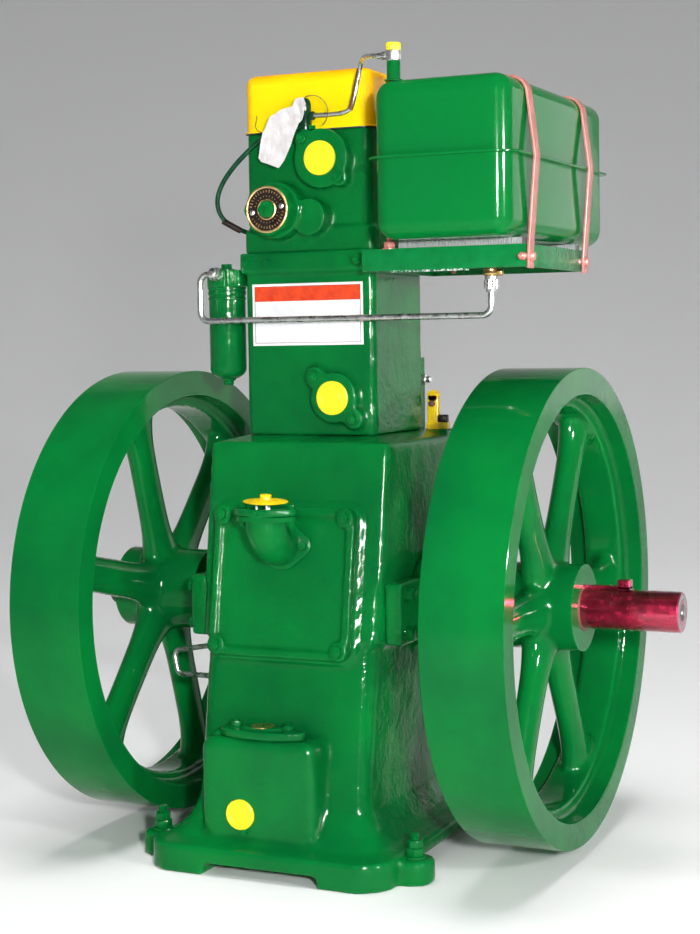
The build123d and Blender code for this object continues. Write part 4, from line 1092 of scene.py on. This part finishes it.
class ENGINE_OT_handwheel(bpy.types.Operator):
    """Change-over valve: lobed wheel, dial with plain ticks, two screws and a knob"""

    bl_idname = "engine.handwheel"
    bl_label = "Change-over valve"

    def execute(self, context):
        centre = behind(*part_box("changeover_handwheel"))
        shape = bmesh.new()
        disc(shape, aim(centre, FRONT), 10, 4, steps=32)
        lobed(shape, aim(centre + FRONT * 3 * MM, FRONT), 31.6, 1.4, 8, 14, 1.4, 12)
        piece_from("valve_wheel", shape, "engine", "small_green", ["changeover_handwheel"])
        face = aim(centre + FRONT * 16.8 * MM, FRONT)
        shape = bmesh.new()
        disc(shape, face, 27.6, 1.2, 0.3, 64)
        piece_from("valve_dial", shape, "engine", "black")
        shape = bmesh.new()
        for inner, outer in ((26.6, 29.4), (11.0, 13.2)):
            turned(
                shape, face, [(inner, 0.2), (inner, 1.7), ((inner + outer) / 2, 2.2), (outer, 1.7),
                (outer, 0.2), (inner, 0.2)], 72)
        screw_line = 0.17
        clear_of_screws = 0.24
        for circle, count, long_tick, short_tick in ((22.8, 36, 4.2, 2.6), (16.6, 24, 1.8, 1.2)):
            for tick in range(count):
                angle = FULL_TURN * tick / count
                if abs(math.sin(angle - screw_line)) < clear_of_screws:
                    continue
                length = long_tick if tick % 4 == 0 else short_tick
                place = face @ Matrix.Rotation(angle, 4, "Z") @ Matrix.Translation(mm(circle, 0, 1.2))
                size = Matrix.Diagonal((*mm(length, 1.0, 0.35), 1))
                bmesh.ops.create_cube(shape, size=1.0, matrix=place @ size)
        piece_from("dial_rings", shape, "engine", "gold")
        shape = bmesh.new()
        for x, z in ((-20.5, -3.5), (20.5, 3.5)):
            place = aim(centre + mm(x, -18, z), FRONT)
            turned(shape, place, [(0, 0), (3.4, 0), (3.3, 0.9), (2, 1.7), (0, 2.0)], 24)
        piece_from("dial_screws", shape, "engine", "steel")
        shape = bmesh.new()
        knob = centre + FRONT * 17.8 * MM
        lobed(shape, aim(knob, FRONT), 10.4, 0.4, 6, 5, 1.3, 8)
        for turn in (0.7, 2.3):
            bar = aim(knob + FRONT * 5.2 * MM, FRONT, turn) @ Matrix.Diagonal((*mm(13, 1.8, 1.4), 1))
            bmesh.ops.create_cube(shape, size=1.0, matrix=bar)
        piece_from("valve_knob", shape, "engine", "small_green")
        return {"FINISHED"}


class ENGINE_OT_injector(bpy.types.Operator):
    """Injector, the unions at the pump, and the glands of the push rod tubes"""

    bl_idname = "engine.injector"
    bl_label = "Injector and unions"

    def execute(self, context):
        foot = Vector((4 * MM, -88 * MM, head_high.z - 0.4 * MM))
        shape = bmesh.new()
        turned(
            shape, aim(foot, UP), [(0, 0), (9.6, 0), (9.6, 4), (8, 6), (8, 21), (7.2, 22.5), (7.6, 24),
            (7.6, 32), (6.6, 36), (4.6, 38.8), (2, 40), (0, 40.2)], 40)
        place = aim(foot + mm(6, 0, 17.4), RIGHT, 0.3)
        hexagon(shape, place, 9.5, 7)
        place = aim(foot + mm(-6, 0, 10.4), LEFT, 0.2)
        hexagon(shape, place, 11, 8.5)
        piece_from("injector_body", shape, "engine", "injector", ["injector"])
        shape = bmesh.new()
        hexagon(shape, aim(foot + mm(9, -1, 0), UP, 0.4), 10, 5)
        hexagon(shape, aim(foot + mm(-9, -1, 0), UP, 0.9), 10, 5)
        piece_from("injector_clamp_nuts", shape, "engine", "small_green")

        pump_low, pump_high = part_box("fuel_pump")
        top = over(pump_low, pump_high, pump_high.z)
        shape = bmesh.new()
        hexagon(shape, aim(top - UP * 3 * MM, UP, 0.3), 19, 11)
        turned(shape, aim(top + UP * 7 * MM, UP), [(0, 0), (6, 0), (5, 7), (3, 10), (0, 10.2)], 24)
        for way in (-1, 1):
            ear = Vector((top.x + way * 20 * MM, pump_high.y - 0.4 * MM, pump_low.z + 22 * MM))
            nut_on_stud(shape, aim(ear, REAR, way), 12, 6, 7, 4, 1.4)
        side = aim(Vector((pump_high.x - 0.4 * MM, top.y, pump_low.z + 66 * MM)), RIGHT, 0.5)
        hexagon(shape, side, 14, 7)
        turned(shape, raised(side, 7), [(0, 0), (4.5, 0), (4.5, 6), (3.4, 7), (0, 7)], 24)
        piece_from("pump_unions", shape, "engine", "steel")

        shape = bmesh.new()
        for number in (1, 2):
            low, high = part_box(f"push_rod_tube_{number}")
            for level in (low.z, high.z - 10 * MM):
                place = aim(over(low, high, level), UP)
                turned(
                    shape, place, [(6.8, 0), (10.5, 0), (11, 1), (11, 7), (9, 9), (6.8, 9), (6.8, 0)], 32)
        piece_from("push_rod_glands", shape, "engine", "small_green")
        return {"FINISHED"}


class ENGINE_OT_thin_pipes(bpy.types.Operator):
    """Hand-bent injection and leak-off pipes with their sleeves, and a brown wire beside the leak-off pipe
    that paints its shadow
    """

    bl_idname = "engine.thin_pipes"
    bl_label = "Thin pipes"

    def execute(self, context):
        injector_x, injector_y = 4, -88
        bent_wire("injection_bend", [
            (injector_x - 6, injector_y, 932), (-24, injector_y, 931), (-48, -89, 921), (-72, -92, 903),
            (-96, -95, 881), (-115, -95, 858), (-124, -92, 836), (-121, -84, 816), (-108, -70, 804),
            (-96, -50, 797), (-97, 0, 794), (-102, 60, 792), (-104, 96, 788), (-84, 121, 778),
            (-40, 123, 764), (20, 122, 742), (50, 120, 722), (50, 104, 706), (50, 100, 690),
            (50, 100, 664)], 3.1, "engine", "dark_pipe", ["injection_pipe"])
        bent_wire("injection_sleeve", [
            (-119, -83, 813), (-112, -74, 807), (-104, -64, 801)], 4.1, "engine", "black")
        bent_wire("leak_off_bend", [
            (injector_x + 6, injector_y, 939), (30, injector_y, 939), (52, injector_y, 939),
            (66, injector_y, 942), (72, -89, 954), (78, -91, 976), (83, -93, 992), (90, -102, 1002),
            (106, -124, 1001), (122, -150, 996), (136, -166, 993), (148, -168, 992)], 2.9,
            "engine", "pipe", ["leak_off_pipe"])
        # Painted shadow: a brown wire set just left of the rising leak-off pipe
        bent_wire("leak_off_painted_shadow", [
            (67, injector_y - 0.4, 943), (71, -89.4, 954), (77, -91.4, 976), (82, -93.4, 991)], 3.0,
            "engine", "rust")
        return {"FINISHED"}


class ENGINE_OT_tag(bpy.types.Operator):
    """Torn paper tag and the two ends of its tie wire"""

    bl_idname = "engine.tag"
    bl_label = "Paper tag"

    def execute(self, context):
        outline = [(8, 961), (-4, 960), (-9, 951), (-25, 948), (-40, 940), (-50, 920), (-56, 889), (-53, 884),
                   (-44, 881), (-29, 875), (-21, 884), (-14, 898), (-4, 921), (0, 929), (6, 934), (9, 942),
                   (12, 953)]
        depth = -97.5
        shape = bmesh.new()
        verts = []
        for index, (x, z) in enumerate(outline):
            next_x, next_z = outline[(index + 1) % len(outline)]
            for share in (0, 0.34, 0.67):
                torn = 1.1 * noise.noise(Vector((x + 9 * share, z, 3))) * (share > 0)
                across = x + (next_x - x) * share + torn
                up = z + (next_z - z) * share + torn
                verts.append(shape.verts.new((across * MM, depth * MM, up * MM)))
        shape.faces.new(verts)
        bmesh.ops.triangulate(shape, faces=shape.faces[:], quad_method="BEAUTY", ngon_method="BEAUTY")
        for _ in range(3):
            longest = [edge for edge in shape.edges if edge.calc_length() > 4 * MM]
            bmesh.ops.subdivide_edges(shape, edges=longest, cuts=1)
            bmesh.ops.triangulate(shape, faces=shape.faces[:])
        for vert in shape.verts:
            fold = abs(noise.noise(Vector((vert.co.x, 0, vert.co.z)) * 38)) * 5.0
            fold += abs(noise.noise(Vector((vert.co.x, 4, vert.co.z)) * 110)) * 1.6
            curl = 0.0030 * (vert.co.x / MM + 20) ** 2
            vert.co.y -= (fold + curl) * MM
        bmesh.ops.recalc_face_normals(shape, faces=shape.faces)
        bmesh.ops.solidify(shape, geom=shape.faces[:], thickness=0.5 * MM)
        piece_from("torn_tag", shape, "engine", "paper", ["paper_tag"], crease=SHARP)
        bent_wire("tag_wire_right", [
            (6, -98, 955), (8, -99, 961), (17, -99, 963), (29, -98, 961), (39, -97, 950), (40, -96, 938),
            (36, -96, 929), (32, -96, 925)], 0.55, "engine", "rust")
        bent_wire("tag_wire_left", [
            (-50, -98, 920), (-57, -97, 922), (-63, -96, 928), (-62, -96, 934), (-60, -96, 939),
            (-61, -96, 943)], 0.55, "engine", "rust")
        return {"FINISHED"}


class ENGINE_OT_plugs(bpy.types.Operator):
    """Moulded plugs in the water flanges and the sump"""

    bl_idname = "engine.plugs"
    bl_label = "Plugs"

    def execute(self, context):
        for node in ("block_water_plug", "head_water_plug", "sump_drain_plug"):
            low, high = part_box(node)
            radius = (high.x - low.x) / 2 / MM
            proud = (high.y - low.y) / MM
            groove = 0.6 * radius
            shape = bmesh.new()
            turned(
                shape, aim(behind(low, high), FRONT), [(0, -1), (radius * 0.93, -1), (radius, 0),
                (radius, proud - 1.1), (radius - 1.2, proud), (groove + 1.1, proud),
                (groove + 0.5, proud - 0.7), (groove - 0.5, proud - 0.7), (groove - 1.1, proud - 0.1),
                (0, proud - 0.1)], 64)
            piece_from(node + "_moulding", shape, "engine", "plug", [node])
        return {"FINISHED"}


class ENGINE_OT_tank_fittings(bpy.types.Operator):
    """Strap bolts, hanger nuts, packing, fuel tap and return fitting"""

    bl_idname = "engine.tank_fittings"
    bl_label = "Tank fittings"

    def execute(self, context):
        for place_name in ("front", "rear"):
            low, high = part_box("tank_strap_" + place_name)
            middle = (low.y + high.y) / 2
            shape = bmesh.new()
            level = bracket_high.z - 15 * MM
            head = aim(Vector((high.x - 9 * MM, middle, level)), RIGHT)
            turned(shape, head, [(0, 0), (6.4, 0), (6.0, 2.4), (4.2, 4.4), (0, 5.2)], 32)
            edge = Vector((high.x - 16 * MM, low.y, level))
            hexagon(shape, aim(edge + REAR * 0.5 * MM, FRONT, 0.3), 9, 7)
            tip = aim(edge + FRONT * 6 * MM, FRONT)
            turned(shape, tip, [(0, 0), (3.4, 0), (3.4, 5), (2.4, 6), (0, 6)], 20)
            piece_from("strap_bolt_" + place_name, shape, "engine", "primer")
            stud_low, stud_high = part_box("strap_stud_" + place_name)
            stud_top = over(stud_low, stud_high, stud_high.z)
            rail_top = over(stud_low, stud_high, bracket_high.z)
            shape = bmesh.new()
            stud_end(shape, aim(stud_top, -UP), 7, 47, 1.4)
            hexagon(shape, aim(rail_top + UP * 0.4 * MM, UP, 0.3), 13, 8)
            disc(shape, aim(rail_top - UP * 0.4 * MM, UP), 9, 1.2)
            hexagon(shape, aim(stud_top - UP * 5 * MM, UP, 0.9), 11, 6)
            piece_from(
                "hanger_nuts_" + place_name, shape, "engine", "primer",
                ["strap_stud_" + place_name])
            self.packing(place_name)
        self.tap()
        self.return_fitting()
        return {"FINISHED"}

    def packing(self, place_name):
        """Grey packing with upright ribs on its front and rear edges."""
        low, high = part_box("tank_packing_" + place_name)
        shape = bmesh.new()
        eased_box(shape, low, high, 0, 0.8, 3)
        pitch = 3.2 * MM
        height = (high.z - low.z) / MM - 1.6
        for number in range(int((high.x - low.x) / pitch)):
            for y in (low.y, high.y):
                place = Vector((low.x + (number + 0.5) * pitch, y, (low.z + high.z) / 2))
                prism(shape, Matrix.Translation(place), 0.9, height, 8)
        piece_from(
            "ribbed_packing_" + place_name, shape, "engine", "rubber",
            ["tank_packing_" + place_name])

    def tap(self):
        """Brass tap body and the castellated nut of the fuel pipe."""
        low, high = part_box("fuel_tap")
        centre = over(low, high, low.z)
        shape = bmesh.new()
        height = (high.z - low.z) / MM
        turned(
            shape, aim(centre, UP), [(0, 0), (7.5, 0), (9.6, 1.2), (10.4, 3.2), (9.4, 5.0), (8.2, 5.6),
            (9.0, 6.4), (9.0, 9), (6, 9.6), (6, height), (0, height)], 40)
        hexagon(shape, aim(centre + mm(8, 0, 4), RIGHT, 0.2), 7.5, 7)
        piece_from("tap_body", shape, "engine", "brass", ["fuel_tap"])
        low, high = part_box("fuel_tap_nut")
        height = (high.z - low.z) / MM
        shape = bmesh.new()
        lobed(shape, aim(Vector((centre.x, centre.y, low.z)), UP), 8.4, 0.8, 8, height - 4, 0.5)
        lobed(shape, aim(Vector((centre.x, centre.y, low.z - 4 * MM)), UP), 6.2, 0.3, 6, 4.6, 0.5)
        lobed(shape, aim(Vector((centre.x, centre.y, high.z - 4.6 * MM)), UP), 7.6, 0.2, 6, 4.6, 0.5)
        piece_from("castle_nut", shape, "engine", "steel", ["fuel_tap_nut"])

    def return_fitting(self):
        """Stub, union and yellow cap of the fuel return."""
        low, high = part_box("tank_return_fitting")
        centre = over(low, high, low.z)
        shape = bmesh.new()
        turned(
            shape, aim(centre, UP), [(0, 0), (11, 0), (11, 1.6), (8.2, 3), (8, 22), (7.2, 24), (0, 24)], 36)
        piece_from("return_stub", shape, "engine", "small_green", ["tank_return_fitting"])
        shape = bmesh.new()
        turned(
            shape, aim(centre + UP * 23.6 * MM, UP), [(0, 0), (7.6, 0), (8.8, 1.4), (9.2, 6.5), (8.8, 11.6),
            (7.6, 13.2), (0, 13.2)], 36)
        hexagon(shape, aim(centre + mm(-7, 0, 31), LEFT, 0.2), 9, 8)
        turned(
            shape, aim(centre + mm(-14.6, 0, 31), LEFT), [(0, 0), (3.6, 0), (3.6, 5), (2.6, 7),
            (0, 7)], 20)
        piece_from("return_union", shape, "engine", "steel")
        low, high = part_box("tank_return_cap")
        shape = bmesh.new()
        lobed(
            shape, aim(Vector((centre.x, centre.y, low.z)), UP), 8.6, 0.3, 16, (high.z - low.z) / MM, 1.0,
            4)
        piece_from("return_cap", shape, "engine", "plug", ["tank_return_cap"])


class ENGINE_OT_filter(bpy.types.Operator):
    """Fuel filter bowl with its rings, drain and unions, and the unions on the left of the case"""

    bl_idname = "engine.filter"
    bl_label = "Filter and unions"

    def execute(self, context):
        low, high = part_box("fuel_filter_bowl")
        foot = over(low, high, low.z)
        height = (high.z - low.z) / MM
        shape = bmesh.new()
        dome = [(24 * math.sin(angle), 22 - 15 * math.cos(angle))
                for angle in (math.radians(step) for step in range(24, 91, 11))]
        turned(
            shape, aim(foot, UP), [(0, 0), (5, 0), (5.6, 1), (5.6, 5), (8.6, 6), *dome, (24, height - 17),
            (24.9, height - 16), (24.9, height - 13.6), (24, height - 12.6), (24, height - 10.6),
            (25.2, height - 9.6), (25.2, height - 5.4), (24.2, height - 4.6), (24.2, height - 3.4),
            (25.4, height - 2.6), (25.4, height + 0.4), (0, height + 0.4)], 64)
        hexagon(shape, aim(foot + UP * 1 * MM, UP, 0.4), 13, 4.2)
        piece_from("filter_bowl", shape, "engine", "small_green", ["fuel_filter_bowl"])
        head_box_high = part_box("fuel_filter_head")[1]
        shape = bmesh.new()
        turned(
            shape, aim(Vector((foot.x, foot.y, head_box_high.z - 0.5 * MM)), UP), [(0, 0), (11, 0), (11, 2),
            (8, 3.2), (0, 3.2)], 32)
        hexagon(shape, aim(Vector((foot.x, foot.y, head_box_high.z + 2.4 * MM)), UP, 0.3), 13, 6)
        piece_from("filter_centre_bolt", shape, "engine", "small_green")

        low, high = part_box("filter_banjo")
        axis = beside(low, high, low.x)
        shape = bmesh.new()
        turned(
            shape, aim(axis, RIGHT), [(0, 0), (5.2, 0), (8.2, 1.2), (8.6, 4.0), (6.2, 4.8), (6.2, 5.8),
            (8.8, 6.8), (8.8, 9.6), (6.4, 10.4), (6.4, 11.4), (8, 12), (8, 14), (0, 14)], 40)
        hexagon(shape, aim(axis + RIGHT * 5 * MM, FRONT, 0.3), 9, 9.5)
        piece_from("filter_union", shape, "engine", "steel", ["filter_banjo"])

        low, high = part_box("oil_union")
        axis = beside(low, high, high.x)
        shape = bmesh.new()
        disc(shape, aim(axis, LEFT), 9.5, 4, steps=32)
        hexagon(shape, aim(axis + LEFT * 4 * MM, LEFT, 0.35), 19, 13)
        turned(
            shape, aim(axis + LEFT * 16.6 * MM, LEFT), [(0, 0), (8.4, 0), (8, 3), (5, 11), (4.4, 15.2),
            (0, 15.4)], 32)
        piece_from("oil_nut", shape, "engine", "steel", ["oil_union"])
        low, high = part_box("level_plug")
        axis = beside(low, high, high.x)
        shape = bmesh.new()
        disc(shape, aim(axis, LEFT), 10.5, 2, steps=32)
        hexagon(shape, aim(axis + LEFT * 1.8 * MM, LEFT, 0.35), 17.5, 9)
        turned(
            shape, aim(axis + LEFT * 10.6 * MM, LEFT), [(0, 0), (4.6, 0), (4.6, 7), (3.2, 10.6), (0, 11.4)],
            28)
        piece_from("level_plug_head", shape, "engine", "steel", ["level_plug"])
        return {"FINISHED"}


class ENGINE_OT_shaft(bpy.types.Operator):
    """Turned shaft with its lacquered free end, the gib-head key and the ring at the hub"""

    bl_idname = "engine.shaft"
    bl_label = "Shaft and key"

    def execute(self, context):
        radius = (shaft_high.z - shaft_low.z) / 2 / MM
        seat_radius = 25.4
        chamfer = 1.5
        centre_hole = 4
        length = (shaft_high.x - shaft_low.x) / MM
        shoulder = length - 62
        wheel_face = (wheel_high.x - shaft_low.x) / MM
        shape = bmesh.new()
        turned(
            shape, aim(Vector((shaft_low.x, 0, crank_line)), RIGHT), [(0, 0), (radius - chamfer, 0),
            (radius, chamfer), (radius, wheel_face), (radius, shoulder), (seat_radius, shoulder),
            (seat_radius, length - chamfer), (seat_radius - chamfer, length), (20.5, length), (17, length),
            (11, length), (10, length - 0.8), (centre_hole + 1.5, length - 0.8),
            (centre_hole, length - 2.5), (centre_hole, length - 8), (0, length - 10)], 72)
        for face in shape.faces:
            middle = face.calc_center_median()
            off_axis = math.hypot(middle.y, middle.z - crank_line)
            if middle.x < wheel_high.x:
                face.material_index = 1
            elif middle.x > shaft_high.x - 0.1 * MM and 17 * MM < off_axis < 20.5 * MM:
                face.material_index = 2
            elif middle.x > shaft_high.x - 12 * MM and off_axis < 10.5 * MM:
                face.material_index = 1
        piece_from(
            "turned_shaft", shape, "crank", ["lacquer", "dark_steel", "end_grey"],
            ["crankshaft"])
        key_low, key_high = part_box("output_key")
        shape = bmesh.new()
        eased_box(shape, key_low, Vector((key_high.x, key_high.y, key_low.z + 9 * MM)), 0, 0.7, 2)
        piece_from("key_bar", shape, "crank", "lacquer", ["output_key"])
        shape = bmesh.new()
        eased_box(
            shape, Vector((key_high.x - 16 * MM, key_low.y, key_low.z + 6 * MM)), key_high, 1.0, 1.2, 3)
        piece_from("key_head", shape, "crank", "lacquer_rough")
        shape = bmesh.new()
        turned(
            shape, aim(Vector((wheel_high.x - 0.3 * MM, 0, crank_line)), RIGHT), [(radius, 0),
            (radius + 3.4, 0), (radius + 3.0, 1.1), (radius, 1.6), (radius, 0)], 64)
        piece_from("hub_ring", shape, "crank", "rust")
        return {"FINISHED"}


class ENGINE_OT_lever(bpy.types.Operator):
    """Stop lever behind the block, with its pivot and the black linkage end"""

    bl_idname = "engine.lever"
    bl_label = "Stop lever"

    def execute(self, context):
        low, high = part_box("stop_lever")
        shape = bmesh.new()
        eased_box(shape, low, Vector((high.x, high.y, low.z + 9 * MM)), 4, 1, 4)
        middle = (low.y + high.y) / 2
        foot = Vector((low.x, middle, low.z))
        top = Vector((low.x, middle, high.z))
        eased_box(shape, foot + mm(1, -4.5, 8), top + mm(17, 4.5, -6), 2, 1.5, 4)
        turned(shape, aim(top + mm(9, 4.5, -8), FRONT), [(0, 0), (8, 0), (8, 8), (7, 9), (0, 9)], 32)
        piece_from("lever_bar", shape, "engine", "lever", ["stop_lever"])
        shape = bmesh.new()
        nut_on_stud(shape, aim(top + mm(9, -4.4, -18), FRONT, 0.2), 8, 4, 5, 2)
        piece_from("lever_pivot", shape, "engine", "rust")
        shape = bmesh.new()
        eased_box(shape, foot + mm(16, -6, 8.8), foot + mm(30, 3, 19), 2, 2, 3)
        hexagon(shape, aim(foot + mm(23, -5.6, 14), FRONT, 0.1), 8, 4)
        piece_from("linkage_end", shape, "engine", "black")
        return {"FINISHED"}


class ENGINE_OT_bare_nodes(bpy.types.Operator):
    """Finishes for the nodes that show as they are"""

    bl_idname = "engine.bare_nodes"
    bl_label = "Pipes and small nodes"

    def execute(self, context):
        nodes = {
            "fuel_pipe": "pipe",
            "oil_pipe": "pipe",
            "push_rod_tube_1": "small_green",
            "push_rod_tube_2": "small_green",
            "left_key": "dark_steel",
        }
        for node, finish in nodes.items():
            for slot in frame["nodes"][node].material_slots:
                slot.material = finishes[finish]
        return {"FINISHED"}


class ENGINE_OT_studio(bpy.types.Operator):
    """Pale floor, soft lights and the camera"""

    bl_idname = "engine.studio"
    bl_label = "Studio"

    def execute(self, context):
        studio = context.scene.studio_settings
        self.lay_floor(studio)
        target = Vector((0.05, 0, 0.48))
        self.hang_light("key_light", (1.40, -2.25, 0.85), target, 0.16, studio.key_power)
        self.hang_light("edge_light", (2.35, -0.95, 1.0), target, 0.12, studio.edge_power)
        self.hang_light("key_glint", (1.40, -2.25, 0.95), target, 0.12, studio.glint_power, lit=False)
        self.hang_light("edge_glint", (2.35, -0.95, 1.05), target, 0.12, studio.glint_power, lit=False)
        self.hang_light("fill_light", (-1.9, -2.6, 1.5), target, 1.6, studio.fill_power, mirrored=False)
        self.hang_light("top_light", (0.2, -0.4, 5.2), Vector((0.2, -0.3, 0)), 2.2, studio.top_power,
                        mirrored=False)
        self.hang_light("backdrop_light", (-1.2, 3.0, 4.0), Vector((-2.6, 7.6, 0.3)), 2.4,
                        studio.backdrop_power, mirrored=False)
        self.hang_light("side_panel", (2.6, 4.4, 0.9), target, 2.6, studio.side_power)
        world = bpy.data.worlds.new("studio_air")
        world.use_nodes = True
        world.node_tree.nodes["Background"].inputs["Color"].default_value = (0.75, 0.76, 0.78, 1)
        world.node_tree.nodes["Background"].inputs["Strength"].default_value = 0.12
        context.scene.world = world
        context.scene.view_settings.view_transform = "Standard"
        self.place_camera(context.scene, studio)
        return {"FINISHED"}

    def lay_floor(self, studio):
        """A round pale floor that turns up into a wall all round."""
        radius = studio.floor_radius / MM
        turn_up = 6000
        wall = 2000
        shape = bmesh.new()
        profile = [(0, 0), (radius * 0.5, 0), (radius, 0)]
        for step in range(1, 13):
            angle = math.radians(90) * step / 12
            profile.append((radius + turn_up * math.sin(angle), turn_up * (1 - math.cos(angle))))
        profile.append((radius + turn_up, turn_up + wall))
        turned(shape, Matrix.Identity(4), profile, 96)
        bmesh.ops.remove_doubles(shape, verts=shape.verts, dist=0.01 * MM)
        bmesh.ops.reverse_faces(shape, faces=[f for f in shape.faces if f.normal.z < -0.01])
        for face in shape.faces:
            face.smooth = True
        mesh = bpy.data.meshes.new("studio_floor")
        shape.to_mesh(mesh)
        shape.free()
        floor = bpy.data.objects.new("studio_floor", mesh)
        bpy.context.scene.collection.objects.link(floor)
        paper = Finish("backdrop_paper", roughness=0.9)
        mesh.materials.append(paper.finished((0.93, 0.93, 0.93)))

    def hang_light(self, name, place, target, size, power, mirrored=True, lit=True):
        """A soft square light aimed at a target, for the gloss (mirrored), the matt (lit) or both."""
        lamp = bpy.data.lights.new(name, "AREA")
        lamp.energy = power
        lamp.size = size
        holder = bpy.data.objects.new(name, lamp)
        bpy.context.scene.collection.objects.link(holder)
        holder.location = place
        holder.rotation_euler = (target - holder.location).to_track_quat("-Z", "Y").to_euler()
        holder.visible_camera = False
        holder.visible_glossy = mirrored
        holder.visible_diffuse = lit

    def place_camera(self, scene, studio):
        """The camera at the angle of the photograph."""
        lens = bpy.data.cameras.new("camera")
        lens.lens = studio.lens
        camera = bpy.data.objects.new("camera", lens)
        scene.collection.objects.link(camera)
        down, roll, heading = studio.camera_turn
        camera.matrix_world = (
            Matrix.Translation(studio.camera_place)
            @ Matrix.Rotation(heading, 4, "Z")
            @ Matrix.Rotation(math.radians(90) - down, 4, "X")
            @ Matrix.Rotation(roll, 4, "Z"))
        scene.camera = camera


PIECES = (
    ENGINE_OT_castings,
    ENGINE_OT_flywheels,
    ENGINE_OT_rocker_cover,
    ENGINE_OT_tank,
    ENGINE_OT_nuts,
    ENGINE_OT_filler,
    ENGINE_OT_plate,
    ENGINE_OT_handwheel,
    ENGINE_OT_injector,
    ENGINE_OT_thin_pipes,
    ENGINE_OT_tag,
    ENGINE_OT_plugs,
    ENGINE_OT_tank_fittings,
    ENGINE_OT_filter,
    ENGINE_OT_shaft,
    ENGINE_OT_lever,
    ENGINE_OT_bare_nodes,
    ENGINE_OT_studio,
)


class ENGINE_PT_panel(bpy.types.Panel):
    """Lists the pieces of the engine"""

    bl_idname = "ENGINE_PT_panel"
    bl_label = "Diesel engine"
    bl_space_type = "VIEW_3D"
    bl_region_type = "UI"
    bl_category = "Engine"

    def draw(self, context):
        for piece in PIECES:
            self.layout.operator(piece.bl_idname)
        for settings in SETTINGS:
            box = self.layout.box()
            group = getattr(context.scene, settings)
            for name in group.__annotations__:
                box.prop(group, name)


SETTINGS = {"engine_colours": EngineColours, "engine_sizes": EngineSizes, "studio_settings": StudioSettings}
CLASSES = (*SETTINGS.values(), *PIECES, ENGINE_PT_panel)


def register():
    for each in CLASSES:
        bpy.utils.register_class(each)
    for name, group in SETTINGS.items():
        setattr(bpy.types.Scene, name, PointerProperty(type=group))


def unregister():
    for name in SETTINGS:
        delattr(bpy.types.Scene, name)
    for each in reversed(CLASSES):
        bpy.utils.unregister_class(each)


def main():
    register()
    mix_finishes()
    for piece in PIECES:
        group, name = piece.bl_idname.split(".")
        getattr(getattr(bpy.ops, group), name)()


if __name__ == "__main__":
    main()
